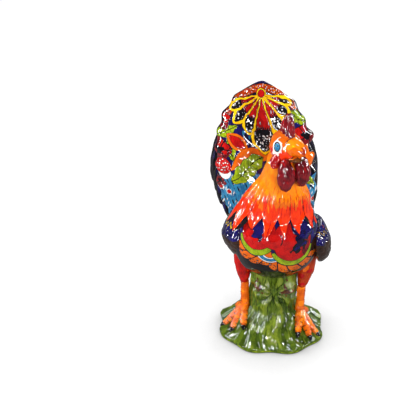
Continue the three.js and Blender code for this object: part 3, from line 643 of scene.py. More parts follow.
def makeTail():
    t, a = gridOf(300, 320, 0.0, 0.9992)
    a = a + 0.21 * sin(2 * a)  # columns closer on the painted front and on the back
    full = tailFull(t)
    p = carry(tailAxis, t, a, tail["width"] / 2 * full, tail["front"] * full * (1 + 0.7 * (1 - t) ** 3),
              tail["back"] * full)
    u = tail["width"] / 2 * full * cos(a)
    v = np.interp(t, t[:, 0], alongOf(tailAxis(t[:, :1]))[:, 0])
    facing = sin(a)
    front = 45 * (0.06 - facing)
    paint, lay = painter(p, "sky", "rust", "orange", "lime", "yellow", "red", "maroon", "white", "ink")
    dusk = where(u > 0, 0.16 + 0.3 * (1 - ease(110, 150, v)), 0.16)  # dark edge, wider low on the left
    strokes = both(dabs(u, v, 10, 2.4, 47, 6.0), 60 * (facing + 0.2))
    lay("ink", 40 * (facing - dusk) + 3 * lumps(p, 16, 50), -strokes)
    lay("sky", dabs(u, v, 16, 1.6, 49, 2.2), abs(v - 140) - 60, front, 40 * (0.3 - facing))
    saddle = both(v - tail["saddleTop"] + 8 * sin(u / 9), front)
    lay("sky", saddle)
    lay("ink", dabs(u + 0.3 * v, v, 6, 1.1, 61, 4.0), saddle)
    lay("white", dabs(u - 0.3 * v, v, 5, 0.75, 57, 4.5), saddle)
    for centre, (colour, radius) in product(tailFlowers["spots"], tailFlowers["spotRings"]):
        lay(colour, disc(u, v, centre, radius), front)
    dome = hypot(u / tail["dome"][0], (v - tail["domeFoot"]) / tail["dome"][1])  # 1 near the upper edge
    rim = both((dome - 1.0) * 90, (tail["rimFrom"] - dome) * 90, tail["rimFoot"] - v, front)
    lay("ink", rim - 1.2)
    lay("rust", rim)
    lay("orange", dabs(u, v, 8, 2.2, 71), rim)
    lay("white", dabs(u, v, 4.4, 0.7, 73), rim + 1.5)
    for foot, tip, width in tailFlowers["leaves"]:
        blade = petal(u, v, foot, tip, width, 0.5) + 1.2 * cos(u / 3 + v / 4)
        lay("lime", blade, front)
        lay("ink", veins(u, v, foot, tip), blade + 1.5, front)
    for cu, cv, radius in tailFlowers["poppies"]:  # lobed red flower, darker outwards, with a dark heart
        angle, reach = arctan2(v - cv, u - cu), hypot(u - cu, v - cv)
        flower = both(reach - radius - 2.4 * cos(4 * angle + cu), front)
        lay("maroon", flower)
        bright = hypot(u - cu + 0.4 * radius * np.sign(cu), v - cv - 0.25 * radius) - 0.62 * radius
        lay("red", flower + 1, bright + 3 * lumps(p, 9, 55))
        lay("ink", reach - 0.3 * radius - 2.2 * cos(3 * angle + cv), front)
        lay("ink", abs(angle - np.round(angle / 1.1) * 1.1) * reach - 0.5, flower + 2)
    lay("white", disc(u, v, tailFlowers["berryEye"], 12), front)
    berry = both(disc(u, v, tailFlowers["berry"], 16), front)
    lay("red", berry)
    lay("white", dabs(u, v, 5.5, 1.0, 79), berry + 2)
    bud = both(petal(u, v, *tailFlowers["bud"], 0.5), front)
    lay("orange", bud)
    lay("red", bud + 6)
    for shape in tailFlowers["petals"]:
        lay("orange", petal(u, v, *shape), front)
    foot, tip, width = tailFlowers["bigLeaf"]
    bent = v + 5 * sin(u / 11)
    blade = both(petal(u, bent, foot, tip, width, 0.5) + 1.6 * cos(u / 4 + v / 6), front)
    lay("lime", blade)
    lay("ink", veins(u, bent, foot, tip), blade + 2)
    pillow = reduce(maximum, [ease(0, 6, -paint[colour]) for colour in ("lime", "red", "orange")])
    pillow = pillow * tail["flowerRise"]
    for tip, width in fan["petals"]:
        whole = both(wedge(u, v, fan["centre"], tip, width, fan["fullAt"]) + 0.8 * lumps(p, 13, 81), front)
        length = hypot(*np.subtract(tip, fan["centre"]))
        outwards = clip(disc(u, v, fan["centre"], 0) / length, 0, 1)
        heart = whole + mixed(fan["inner"], fan["border"], outwards)
        toTip = disc(u, v, tip, 0)
        dark = both(heart, toTip - 0.44 * length - 3 * sin(u * 1.6 + 0.4 * v))
        lay("yellow", whole)
        lay("red", heart)
        lay("ink", dark)
        lay("white", dabs(u, v, 5.0, 1.25, 83), dark + 1.4, toTip - 0.36 * length)
        lay("white", dabs(u, v, 4.0, 0.55, 87, 5.0), heart + 0.6, abs(toTip - 0.5 * length) - 6)
        pillow = maximum(pillow, tail["petalRise"] * ease(0, 7, -whole))
    for colour, radius in fan["bosses"]:
        lay(colour, disc(u, v, fan["centre"], radius), front)
    rimward = 1 - ease(0.1, 0.5, abs(facing))  # lobes down the hood's edges, and a step on its left
    lobes = tail["lobe"] * cos(v / 5.2 + where(u > 0, 1.5, 0)) * rimward * (1 - ease(225, 245, v))
    step = where(u > 0, 5 * hill(v - 160, 10) - 9 * hill(v - 138, 6), 0) * rimward
    quills = cos(u / 2.9 + 0.9 * sin(v / 45)) * ease(0.12, 0.4, -facing) * (1 - ease(215, 240, v))
    dents = 0.6 * lumps(p, 34, 9) + 0.3 * lumps(p, 14, 10) * ease(-0.1, 0.2, facing)
    ridge = tail["ridge"] * hill(u, 15) * ease(222, 252, v)  # a blunt peak on the hood
    p = raised(p, pillow + lobes + step + tail["quill"] * quills + dents + ridge)
    outlined = ("orange", "lime", "yellow", "red", "maroon")
    return makePiece("tail_shell", p, paint, "navy", outlined)


# mound: one closed wall, from its inner top down to the foot ring and up the grass outside

mound = {"width": 197, "depth": 172, "rim": 9, "skirt": 60, "tuftWidth": 88, "tuftDepth": 82, "pinch": 3,
         "fold": 2.2, "folds": 14, "square": 2.3, "facet": 0.035, "wall": 8, "hollowTop": 136, "tuftSink": 46,
         "knotHeight": 106, "knotX": 3, "knot": -7, "star": 4.0, "lobe": 5, "cheek": 7, "blade": 2.4,
         "rut": 0.5, "columns": 392, "rimRows": 12, "skirtRows": 90, "tuftRows": 120, "hollowRows": 16,
         "underBellyPatches": ((-2.25, 117, 12), (-1.0, 110, 12), (0.3, 118, 15), (1.6, 116, 17), (3.0, 120, 15))}


def skirtClimb(share):
    return mixed(mound["rim"], mound["skirt"], (1 - share) ** 1.15)


def moundRing(share):  # widths of a ring from the tuft, at 0, to the rim, at 1
    return (mixed(mound["tuftWidth"], mound["width"], share),
            mixed(mound["tuftDepth"], mound["depth"], share))


def skirtAt(x, y):  # height of the skirt under a place
    def outside(share):
        width, depth = moundRing(share)
        return abs(x / width * 2) ** mound["square"] + abs(y / depth * 2) ** mound["square"] >= 1
    return skirtClimb(halved(np.zeros(np.shape(x)), np.ones(np.shape(x)), outside, 30))


def softened(values, reach=4):  # running mean that keeps both ends
    padded = concatenate([np.full(reach, values[0]), values, np.full(reach, values[-1])])
    return np.convolve(padded, np.ones(2 * reach + 1) / (2 * reach + 1), "valid")


def makeMound():
    rim, wall = mound["rimRows"], mound["wall"]
    tuftTop = float(axisHeight(0.0)) - mound["tuftSink"]
    skirtOut, climb = linspace(1, 0, mound["skirtRows"])[1:], linspace(0, 1, mound["tuftRows"])[1:]
    wallIn, skirtIn = linspace(1, 0, rim), linspace(0, 1, mound["hollowRows"])[1:]
    shareOut = softened(concatenate([np.ones(rim), skirtOut, np.zeros(len(climb))]))
    heightOut = softened(concatenate([linspace(0.2, mound["rim"], rim), skirtClimb(skirtOut),
                                      mixed(mound["skirt"], tuftTop, climb)]))
    insetOut = softened(concatenate([1.6 * linspace(1, 0, rim) ** 3, np.zeros(len(skirtOut)),
                                     mound["pinch"] * sin(pi * climb)]))
    shareIn = concatenate([np.zeros(rim), skirtIn])
    heightIn = concatenate([mixed(mound["skirt"] - wall, mound["hollowTop"], wallIn),
                            skirtClimb(skirtIn) - wall])
    inner = np.zeros(len(shareIn) + 3)  # three rows make the foot ring
    share = concatenate([shareIn, [1, 1, 1], shareOut])[:, None]
    z = concatenate([maximum(heightIn, 0.6), [0, 0, 0], positive(heightOut)])[:, None]
    inset = concatenate([np.full(len(shareIn), wall), [wall - 0.6, 4, 2], insetOut])[:, None]
    outer = concatenate([inner, ease(2, 16, np.arange(len(shareOut)))])[:, None]
    a = np.arange(mound["columns"]) * 2 * pi / mound["columns"] + np.zeros((len(share), 1))
    halfX, halfY = (width / 2 - inset for width in moundRing(share))
    fold = outer * mound["fold"] * rooted(1 - share)
    scale = squared(a, mound["square"]) + fold * cos(mound["folds"] * a) / halfX
    scale = scale * (1 - mound["facet"] * share * cos(8 * a))  # the foot was cut eight-sided
    p = stack([halfX * cos(a) * scale, halfY * sin(a) * scale, z + 0 * a], -1)
    steps = hypot(np.diff(heightOut, prepend=0), 50 * np.diff(shareOut, prepend=1))
    up = concatenate([inner, np.cumsum(steps)])[:, None] + 0 * a  # mm up the outside
    x, height = p[..., 0] - mound["knotX"], p[..., 2] - mound["knotHeight"]
    ahead = outer * ease(0.1, 0.6, -sin(a))
    reach, turn = hypot(x, height), arctan2(height, x)
    near = ahead * hill(reach, 46)
    star = cos(9 * turn + 0.9 * sin(2 * turn) + 0.8 * lumps(p, 40, 14)) * near * ease(3, 14, reach)
    knot = mound["knot"] * ahead * hill(reach, 8)
    lobe = mound["lobe"] * hill(x + 5, 13) * ease(14, 44, -height) * ease(-112, -70, height) * ahead
    cheeks = mound["cheek"] * (hill(x + 24, 14) + hill(x - 25, 14)) * hill(height - 17, 20) * ahead
    blades = cos(13 * a + 1.6 * sin(up / 37) + 1.8 * lumps(p, 70, 13)) * outer * (1 - 0.85 * near)
    ruts = mound["rut"] * cos(47 * a + 3 * sin(up / 19 + 4 * a)) * outer
    folds = mound["star"] * star + knot + lobe + cheeks + mound["blade"] * blades
    p = raised(p, folds + ruts + outer * lumps(p, 40, 15))
    p[..., 2] = positive(p[..., 2])
    paint, lay = painter(p, "earth", "moss", "meadow", "lime")
    brushed = roundDabs(a, up, 40, 0, 91, 9.0)
    # moss in the hollows of the folds and meadow on their ridges: glaze pooled deeper in the hollows and
    # thinner on the ridges, together with painted shade in the hollows and painted light on the ridges
    lay("moss", 2.4 * (folds + 1.3) + 0.7 * brushed - 3)
    lay("meadow", 2.4 * (2.6 - folds) + 0.7 * brushed - 3)
    for colour, wide, seed in (("moss", 0.9, 93), ("meadow", 0.7, 94)):  # long grass strokes
        lay(colour, where(outer > 0, roundDabs(a, up, 56, wide, seed, 9.0), bare))
    for angle, level, size in mound["underBellyPatches"]:  # brown patches round the mound, just under the belly
        off = abs(mod(a - angle + pi, 2 * pi) - pi) * 44
        lay("earth", hypot(off, (p[..., 2] - level) * 0.7) - size + 5 * lumps(p, 9, 97) + 1.2 * brushed)
    lay("lime", where(outer > 0, p[..., 2] - 4 - 2 * lumps(p, 12, 98), bare))
    return makePiece("grass_mound", p, paint, "grass", streakSize=2.2, squeeze=0.2)


# head and what is on it, in the head's own frame: its left +X, its beak -Y

head = {"turn": 36, "tilt": 12, "width": 50, "length": 58, "height": 60, "lift": 22, "eye": (23, -8.8, 7.3),
        "eyeball": (1, 1.05, 0.86), "lidRise": 0.8, "eyeRise": 1.3, "rings": (("ink", 6.9), ("sky", 5.7)),
        "cheek": ((0, 9, -16), (1, 0.8, 0.75), 10), "pale": ((0, 2, -10), (1, 0.6, 1), 5),
        "pupil": ((0, -1, 1.2), 1, 1.5)}  # place from the eye, squash, radius
beak = {"length": 22, "width": 36, "height": 35, "jaw": 15, "hook": 0.26, "jawWidth": 0.43, "line": 0.6}
combFin = {"length": 34, "height": 29, "thickness": 18, "forward": 10, "rib": 0.8}
wattle = {"width": 32, "depth": 30, "length": 58, "forward": 0.72, "aside": -2.5, "apart": 0.3}
earLobe = {"length": 32, "width": 20, "thickness": 9}
face = head["length"] / 2
beakRoot, beakTip, beakLine = -face * 0.3, -face - beak["length"], head["height"] * 0.05
jawLine = beakLine - (beak["height"] + beak["jaw"]) / 2 + beak["jaw"] * 0.4


def onNeck(p):  # from the head's frame to the statue's: tilt about X, then turn about Z, then lift
    turn, tilt = radians(head["turn"]), radians(-head["tilt"])
    aboutZ = array([[cos(turn), -sin(turn), 0], [sin(turn), cos(turn), 0], [0, 0, 1]])
    aboutX = array([[1, 0, 0], [0, cos(tilt), -sin(tilt)], [0, sin(tilt), cos(tilt)]])
    return p @ (aboutZ @ aboutX).T + neckAxis(1.0) + array([0, 0, head["lift"]])


def makeHead():
    t, a = gridOf(200, 240)
    full = rooted(1 - (2 * t - 1) ** 2)
    p = carry(bezier((0, -face, 0), (0, face, 0)), t, a, head["width"] / 2 * full, head["height"] / 2 * full)
    _, y, z = xyz(p)
    paint, lay = painter(p, "orange", "red", "white", "ink", "sky")
    height = np.zeros_like(t)
    lay("orange", 2 + 4 * lumps(p, 12, 101) - z)
    for side in (-1, 1):
        toEye = p - array(head["eye"]) * (side, 1, 1)
        reach, almond = reachOf(toEye, 0), reachOf(toEye, 0, head["eyeball"])
        cheek, pale, pupil = (reachOf(toEye, *head[key][:2]) - head[key][2]
                              for key in ("cheek", "pale", "pupil"))
        lay("red", cheek + 1.5 * lumps(p, 7, 102))
        lay("white", dabs(y + 40, z, 4.0, 0.6, 104, 4.0), cheek + 1)
        lay("white", pale + 1.5 * lumps(p, 5, 106))
        lay("white", almond - 10 - 0.8 * lumps(p, 7, 103))
        for colour, radius in head["rings"]:
            lay(colour, almond - radius)
        lay("ink", pupil)
        height += head["eyeRise"] * (1 - ease(2, 6.5, reach)) + head["lidRise"] * hill(reach - 8.5, 1.6)
    p = raised(p, height + 0.3 * lumps(p, 16, 105))
    return makePiece("head", onNeck(p), paint, "flame", ("ink",))


def makeBeaks():
    t, a = gridOf(90, 120, 0.0)
    taper = positive(1 - t ** 1.8) ** 0.6
    upper = bezier((0, beakRoot, beakLine),
                   (0, mixed(beakRoot, beakTip, 0.6), beakLine + beak["height"] * 0.12),
                   (0, beakTip, beakLine - beak["height"] * beak["hook"]))
    lower = bezier((0, beakRoot, jawLine), (0, mixed(beakRoot, beakTip, 0.84), jawLine))
    for name, spine, half, depth in (
            ("upper_beak", upper, beak["width"] / 2, beak["height"] / 2),
            ("lower_beak", lower, beak["jawWidth"] * beak["width"], beak["jaw"] / 2)):
        p = carry(spine, t, a, half * taper, depth * taper)
        x, y, z = xyz(p)
        paint, lay = painter(p, "orange", "rust", "earth", "yellow", "ink")
        lay("orange", z - beakLine - 2 + 4 * lumps(p, 12, 111))
        shade = reachOf(p, (2, mixed(beakRoot, beakTip, 0.95), beakLine - 3), (0.9, 0.6, 1))
        lay("rust", shade - 7 + 2 * lumps(p, 7, 119))  # painted shade under the tip
        # earth along the bottom of both beaks is painted shade under the beak
        lay("earth", z - jawLine - 4 + 3 * lumps(p, 8, 115))
        lay("yellow", dabs(x, y, 7, 0.8, 117, 4.0), beakLine + 6 - z)
        inHead = p / array([head["width"], head["length"], head["height"]]) * 2
        leaving = abs((reachOf(inHead, 0) - 1) * 27 - beak["line"])
        lay("ink", leaving - 0.9)  # line where the beak leaves the face
        p = raised(p, 0.35 * lumps(p, 13, 113) - 0.6 * (1 - ease(0, 1.6, leaving)))
        made = makePiece(name, onNeck(p), paint, "amber")
    return made


def makeComb():
    crown, forward = head["height"] / 2, combFin["forward"]
    t, a = gridOf(120, 150, 0.0)
    full = positive(1 - t ** 2.2) ** 0.6
    spine = bezier((0, combFin["length"] * 0.08 - forward, crown / 2),
                   (0, -forward, crown + combFin["height"] * 0.4),
                   (0, -combFin["length"] * 0.42 - forward, crown + combFin["height"]))
    p = carry(spine, t, a, combFin["thickness"] / 2 * full, combFin["length"] / 2 * full)
    y = p[..., 1]
    ribs = combFin["rib"] * cos(y * 0.9 + 1.2 * lumps(p, 20, 121)) * ease(0, 0.25, t)
    paint, lay = painter(p, "red", "ink")
    lay("red", dabs(y, t * 46, 7, 0.7, 123, 6.0))
    lay("ink", dabs(y + 40, t * 46, 8, 0.4, 127, 6.0))
    p = raised(p, ribs + 0.5 * lumps(p, 12, 129))
    return makePiece("comb", onNeck(p), paint, "maroon")


def makeWattles():
    top, forward, length = jawLine + beak["jaw"] * 0.3, wattle["forward"], wattle["length"]
    t, a = gridOf(140, 130)
    full = positive(sin(pi * t ** 1.25)) ** 0.4
    for name, side in sides.items():
        apart = wattle["aside"] + side * (wattle["width"] / 2 + wattle["apart"])
        spine = bezier((apart, -face * forward, top), (apart, -face * (forward + 0.1), top - length / 2),
                       (apart, -face * (forward - 0.25), top - length))
        p = carry(spine, t, a, wattle["width"] / 2 * full, wattle["depth"] / 2 * full)
        x, _, z = xyz(p)
        paint, lay = painter(p, "red", "ink")
        lay("red", dabs(x + 50, z, 7, 0.6, 131, 6.0))
        lay("ink", dabs(x + 90, z, 8, 0.4, 137, 6.0))
        p = raised(p, 0.2 * cos(x * 0.9 + lumps(p, 22, 139)) + 0.5 * lumps(p, 16, 141) - 0.6)
        made = makePiece(name + "_wattle", onNeck(p), paint, "maroon", unevenness=0.1)
    return made


def makeEarLobes():
    t, a = gridOf(90, 110)
    for name, side in sides.items():
        top = array([side * head["width"] * 0.44, -face * 0.1, -head["height"] * 0.08])
        spine = bezier(top, top + array([0, earLobe["length"] * 0.25, -earLobe["length"]]))
        p = carry(spine, t, a, earLobe["width"] / 2 * leaf(t), earLobe["thickness"] * leaf(t),
                  across=(0, 1, 0))
        _, y, z = xyz(p)
        paint, lay = painter(p, "maroon", "white")
        lay("maroon", dabs(y + 50, z, 4.5, 0.9, 143, 4.0))
        lay("white", dabs(y + 70, z, 5, 0.8, 149), 0.55 - t)
        p = raised(p, 0.4 * lumps(p, 10, 151))
        made = makePiece(name + "_ear_lobe", onNeck(p), paint, "red")
    return made


# wings: leaves laid along the flanks, feathered in rows

wing = {"length": 148, "height": 85, "droop": 26, "quillPitch": 8.5, "quill": 1.5, "scaleLength": 15,
        "scaleHeight": 11, "scale": 0.6,
        "left": {"drop": 2, "flare": 9, "out": 8, "thickness": 29, "over": 1.45, "under": 2.8, "tuck": 11,
                 "brown": -7, "line": 1.2},
        "right": {"drop": -9, "flare": 2, "out": 1, "thickness": 36, "over": 1.15, "under": 1.2, "tuck": 8,
                  "brown": -1, "line": 2.6}}


def makeWings():
    t, a = gridOf(220, 260)
    middle = (body["rumpReach"] - body["breastReach"]) / 2 - wing["length"] * 0.06
    places = linspace(0, 1, 5)
    full = leaf(t ** 0.8)
    for name, side in sides.items():
        own = wing[name]
        y = middle + (places - 0.5) * wing["length"]
        z = axisHeight(y) - own["drop"] - wing["droop"] * places ** 2
        spine = through(stack([side * (flankAt(y, z) + own["out"]), y, z], -1))
        flare = radians(own["flare"])
        hang = (side * sin(flare), 0, -cos(flare))
        outer = sin(a) * side
        upper = cos(a) < 0  # an upper and a lower face meet in a ridge
        ridged = where(outer > 0, where(upper, squared(a, own["over"]), squared(a, own["under"])), 1)
        p = carry(spine, t, a, wing["height"] / 2 * full, own["thickness"] / 2 * full,
                  across=hang, swell=ridged)
        across = wing["height"] / 2 * full * cos(a) * ridged  # mm below the wing's middle line
        p[..., 0] -= side * own["tuck"] * positive(across / wing["height"] * 2) ** 2
        along = t * wing["length"]
        quill = mod(across / wing["quillPitch"] + 0.4 * sin(along / 40), 1)
        barbs = ease(0.36, 0.5, t) * ease(0.0, 0.3, outer)
        row = across / wing["scaleHeight"]
        column = along / wing["scaleLength"] + 0.5 * mod(np.floor(row), 2)
        scales = hypot(mod(column, 1) - 0.5, mod(row, 1) - 0.5)
        shells = (1 - ease(0.34, 0.44, t)) * ease(0.0, 0.3, outer)
        height = barbs * (wing["quill"] * rooted(sin(pi * quill)) - 1)
        height += shells * (wing["scale"] * (1 - ease(0.3, 0.5, scales)) - 0.4)
        p = raised(p, height + 0.5 * lumps(p, 26, 161))
        paint, lay = painter(p, "sky", "ink", "umber", "yellow", "red", "white")
        shown = minimum(30 * outer + 12, 0) * -1 - 0.5  # kept off the face that lies on the flank
        lay("ink", abs(quill - 0.02) * wing["quillPitch"] - 0.5, 30 * (0.4 - t), shown)
        lay("sky", dabs(along, across, 15, 0.7, 163, 0.4), 60 * (t - 0.5), shown)
        # umber on the lower part and on the face lying on the flank: a brown glaze, and also painted shade
        # under the wing and against the body
        lay("umber", minimum(20 * outer + 2, own["brown"] + 3 * sin(along / 7) - across))
        zigzag = abs(across + 30 - 9 * abs(mod(along / 13, 1) * 2 - 1)) - own["line"]
        lay("yellow", zigzag, 60 * (t - 0.62), shown)
        lay("red", dabs(along, across, 12, 1.2, 171), abs(across + 34) - 5, 60 * (t - 0.6))
        lay("white", dabs(along, across, 9, 0.7, 177), abs(across + 17) - 4, 60 * (t - 0.5))
        made = makePiece(name + "_wing", p, paint, "navy", ("yellow", "red"))
    return made


# legs and feet

leg = {"hipBack": 2, "thighWidth": 31, "thighRise": 76, "footSpread": 52, "hockSplay": 1, "shankWidth": 16,
       "shankLength": 54, "rings": 62, "ringPitch": 5,
       "left": {"hipSpread": 67, "forward": 16, "thigh": "rust"},
       "right": {"hipSpread": 62, "forward": 6, "thigh": "flame"}}
toe = {"width": 16.5, "lengths": {"inner": 49, "middle": 49, "outer": 49, "hind": 26},
       "tickPitch": 7, "nailAt": 0.82,
       "left": {"inner": -4, "middle": 28, "outer": 55, "hind": 138},
       "right": {"inner": 2, "middle": 34, "outer": 72, "hind": 138}}  # degrees outwards


def fromRing(value, pitch):  # mm from the nearest of evenly spaced rings
    return abs(mod(value / pitch, 1) - 0.5) * pitch


def makeThigh(name, side, hip, end):
    t, a = gridOf(150, 150)
    half = rooted(sin(pi * t ** 0.75)) * leg["thighWidth"] / 2
    p = carry(bezier(hip, end), t, a, half, half)
    paint, lay = painter(p, "orange", "red", "ink")
    lay("orange", 7 - 6 * lumps(p, 26, 181))
    lay("red", 3 + side * 6 + 10 * (sin(a + 0.7) * 0.6 - 0.1) + 4 * lumps(p, 20, 183))
    lay("ink", abs(t * 90 - 80 - 2 * sin(3 * a)) - 0.5)
    p = raised(p, 0.6 * lumps(p, 14, 187))
    makePiece(name + "_thigh", p, paint, leg[name]["thigh"])


def makeShank(name, side, hock, end):
    t, a = gridOf(110, 90, 0.0, 1.0)
    half = leg["shankWidth"] / 2 * (1 + 0.9 * positive(t - 0.6))
    p = carry(bezier(hock, end), t, a, half, half)
    paint, lay = painter(p, "amber", "ink")
    down = t * leg["rings"]
    lay("amber", 3 - 5 * lumps(p, 18, 191))
    lay("ink", fromRing(down, leg["ringPitch"]) - 0.6, 7 * (0.72 - side * cos(a)))
    p = raised(p, 0.15 * cos(down / leg["ringPitch"] * 2 * pi) + 0.4 * lumps(p, 14, 193))
    makePiece(name + "_shank", p, paint, "orange")


def makeToe(name, side, ankle, kind):
    angle = radians(toe[name][kind])
    heading = array([side * sin(angle), -cos(angle)])
    share = array([0, 0.35, 0.7, 1])
    flat = ankle[:2] + heading * (share * toe["lengths"][kind])[:, None]
    x, y = flat.T
    spine = through(stack([x, y, skirtAt(x, y) + toe["width"] * 0.3], -1))
    t, a = gridOf(110, 90, 0.0, 0.9985)
    half = toe["width"] / 2 * rooted(1 - t ** 5) * mixed(1, 0.72, t)
    p = carry(spine, t, a, half, half, across=(-heading[1], heading[0], 0))
    paint, lay = painter(p, "amber", "ink")
    out = t * toe["lengths"][kind]
    lay("amber", 0.5 - 5 * lumps(p, 18, 197))
    lay("ink", fromRing(out, toe["tickPitch"]) - 0.55, 7 * (0.5 - abs(cos(a))), 14 - out)
    lay("ink", 40 * (toe["nailAt"] - t))
    p = raised(p, 0.12 * cos(out / toe["tickPitch"] * 2 * pi) + 0.4 * lumps(p, 12, 199))
    return makePiece(name + "_" + kind + "_toe", p, paint, "orange")


def makeLegs():
    wide = leg["shankWidth"]
    for name, side in sides.items():
        own = leg[name]
        ground = float(skirtAt(array(leg["footSpread"]), array(own["forward"])))
        ankle = array([side * leg["footSpread"], -own["forward"], ground + wide * 0.3])
        hock = ankle + array([side * leg["hockSplay"], 0, leg["shankLength"]])
        hip = array([side * own["hipSpread"], leg["hipBack"], hock[2] + leg["thighRise"]])
        makeThigh(name, side, hip, hock - array([0, 0, wide / 2]))
        makeShank(name, side, hock, ankle - array([0, 0, wide * 0.6]))
        for kind in toe[name]:
            made = makeToe(name, side, ankle, kind)
    return made


# tail feathers: sickles down each edge and a plume behind the top

sickle = {"width": 62, "thickness": 18, "length": 112, "count": 4, "grooves": 5, "rib": 0.8, "seed": 211}
plume = {"width": 54, "thickness": 22, "length": 50, "foot": 0.72, "rib": 0.8, "seed": 231}


def makeFeather(name, p, height, along, across, seed):
    paint, lay = painter(p, "navy", "sky")
    lay("navy", dabs(across + 300, along, 9, 2.6, seed + 4, 5.0))
    lay("sky", dabs(across + 200, along, 17, 0.5, seed, 7.0))
    return makePiece(name, raised(p, height), paint, "ink")


def makeTailFeathers():
    thick = sickle["thickness"]
    t, a = gridOf(150, 140)
    full = leaf(t ** 1.2)
    across = sickle["width"] / 2 * full * cos(a)
    ribs = cos(across / sickle["width"] * 2 * pi * sickle["grooves"] + t) * ease(0.05, 0.3, t)
    for (name, side), order in product(sides.items(), range(sickle["count"])):
        place = order / (sickle["count"] - 1)
        behind = tail["back"] * mixed(0.55, 0.3, place)
        root, crest = (
            tailAxis(at) + array([side * tail["width"] / 2 * float(tailFull(array(at))), behind, 0])
            for at in (mixed(0.66, 0.26, place), mixed(0.42, 0.08, place)))
        fall = sickle["length"] * mixed(0.62, 0.36, place)
        spine = bezier(root + array([-side * thick, 0, 0]),
                       crest + array([side * thick * 0.2, sickle["width"] * 0.25, 0]),
                       crest + array([side * thick * mixed(0.3, -0.8, place), 0, -fall]))
        p = carry(spine, t, a, sickle["width"] / 2 * full, thick / 2 * full, across=(0, 1, 0))
        seed = sickle["seed"] + order
        height = sickle["rib"] * ribs + 0.5 * lumps(p, 22, seed + 2)
        makeFeather(name + "_sickle_" + str(order + 1), p, height, alongOf(p), across, seed)
    foot = tailAxis(plume["foot"])
    t, a = gridOf(110, 150, 0.0)
    full = rooted(1 - t ** 6) * mixed(0.7, 1, t)
    spine = bezier((foot[0], foot[1] + tail["back"] * 0.5, foot[2]),
                   (-tail["sway"], tail["reach"] + plume["thickness"] * 0.9, foot[2] + plume["length"]))
    p = carry(spine, t, a, plume["width"] / 2 * full, plume["thickness"] / 2 * full)
    across = plume["width"] / 2 * full * cos(a)
    ribs = plume["rib"] * cos(across * 0.55) * ease(0, 0.3, t) * (1 - ease(0.9, 1, t))
    height = ribs + 0.4 * lumps(p, 20, plume["seed"] + 2)
    return makeFeather("tail_plume", p, height, t * plume["length"], across, plume["seed"])


for make in (makeBody, makeNeck, makeTail, makeMound, makeHead, makeBeaks, makeComb, makeWattles,
             makeEarLobes, makeWings, makeLegs, makeTailFeathers):
    print("made up to", make().name)


# floor, light and camera

studio = {"floor": 6.0, "floorDrop": 0.0005, "floorTones": (0.13, 0.15), "speckle": 40.0, "shadowReach": 0.2,
          "floorGlow": 0.95, "world": 0.09, "aimHeight": 0.24,
          "lamps": {"key_strip": ((-1.7, 0.1, 0.9), (0.06, 1.6), 38),  # place and size in m, power in W
                    "low_strip": ((-0.66, -1.5, 0.42), (0.04, 0.6), 12),
                    "near_strip": ((0.5, -1.55, 0.9), (0.03, 1.2), 20),
                    "fill_strip": ((1.75, 0.45, 0.9), (0.06, 1.6), 34),
                    "top_strip": ((0.1, 0.2, 2.1), (0.06, 1.0), 7),
                    "back_softbox": ((0.7, 1.7, 1.0), (0.5, 1.0), 16)}}
view = {"offset": (-0.0471, -1.4517, 1.102), "pitch": 60.0, "yaw": 3.0, "lens": 80.05, "sensor": 36.0}
white = (1, 1, 1, 1)


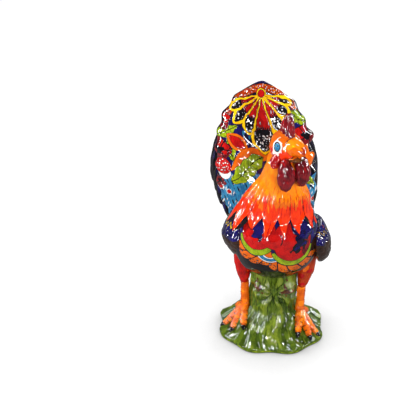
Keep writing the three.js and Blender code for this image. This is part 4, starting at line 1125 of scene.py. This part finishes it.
def makeFloor():
    side, drop = studio["floor"], -studio["floorDrop"]
    mesh = bpy.data.meshes.new("studio_floor")
    mesh.from_pydata([(-side, -side, drop), (side, -side, drop), (side, side, drop), (-side, side, drop)], [],
                     [(0, 1, 2, 3)])
    material = bpy.data.materials.new("studio_floor")
    tree = clearedTree(material)
    place = addNode(tree, "ShaderNodeTexCoord").outputs["Object"]
    darker, paler = ((tone, tone, tone, 1) for tone in studio["floorTones"])
    tone = blend(tree, noise(tree, place, studio["speckle"]), darker, paler)
    matt = addNode(tree, "ShaderNodeBsdfDiffuse", {"Color": tone}).outputs[0]
    rays = addNode(tree, "ShaderNodeLightPath").outputs["Is Camera Ray"]
    # the glow shown to the camera is dimmed by ambient occlusion near the statue: a painted contact shadow on
    # the floor
    occlusionShade = addNode(tree, "ShaderNodeAmbientOcclusion", {"Distance": studio["shadowReach"]},
                       samples=16).outputs["AO"]
    glow = maths(tree, "MULTIPLY", rays, maths(tree, "MULTIPLY", occlusionShade, studio["floorGlow"]))
    pale = addNode(tree, "ShaderNodeEmission", {"Color": white, "Strength": glow}).outputs[0]
    shown = addNode(tree, "ShaderNodeAddShader", {0: matt, 1: pale}).outputs[0]
    addNode(tree, "ShaderNodeOutputMaterial", {"Surface": shown})
    mesh.materials.append(material)
    floor = addObject("studio_floor", mesh)


def addLamp(name, place, size, power):  # a strip that faces the statue's middle
    lamp = bpy.data.lights.new(name, "AREA")
    lamp.shape, lamp.size, lamp.size_y = "RECTANGLE", size[0], size[1]
    lamp.energy = power
    holder = addObject(name, lamp)
    holder.location = place
    facing = unit(np.subtract(place, (footCentre[0], footCentre[1], studio["aimHeight"])))
    right = unit(np.cross((0, 0, 1), facing))
    axes = stack([right, np.cross(facing, right), facing], 1)
    holder.rotation_euler = mathutils.Matrix(axes.tolist()).to_euler()


def makeWorld():  # dim all round, white to the camera
    world = bpy.data.worlds.new("studio")
    bpy.context.scene.world = world
    tree = clearedTree(world)
    rays = addNode(tree, "ShaderNodeLightPath").outputs["Is Camera Ray"]
    ambient, backdrop = (
        addNode(tree, "ShaderNodeBackground", {"Color": white, "Strength": strength}).outputs[0]
        for strength in (studio["world"], 1.0))
    shown = addNode(tree, "ShaderNodeMixShader", {0: rays, 1: ambient, 2: backdrop}).outputs[0]
    addNode(tree, "ShaderNodeOutputWorld", {"Surface": shown})


makeFloor()
for name, lamp in studio["lamps"].items():
    addLamp(name, *lamp)
makeWorld()
camera = bpy.data.cameras.new("photo_camera")
camera.lens, camera.sensor_width = view["lens"], view["sensor"]
cameraHolder = addObject("photo_camera", camera)
cameraHolder.location = footCentre + array(view["offset"])
cameraHolder.rotation_euler = (radians(view["pitch"]), 0, radians(view["yaw"]))
bpy.context.scene.camera = cameraHolder
bpy.context.scene.view_settings.view_transform = "Standard"
print("studio set")
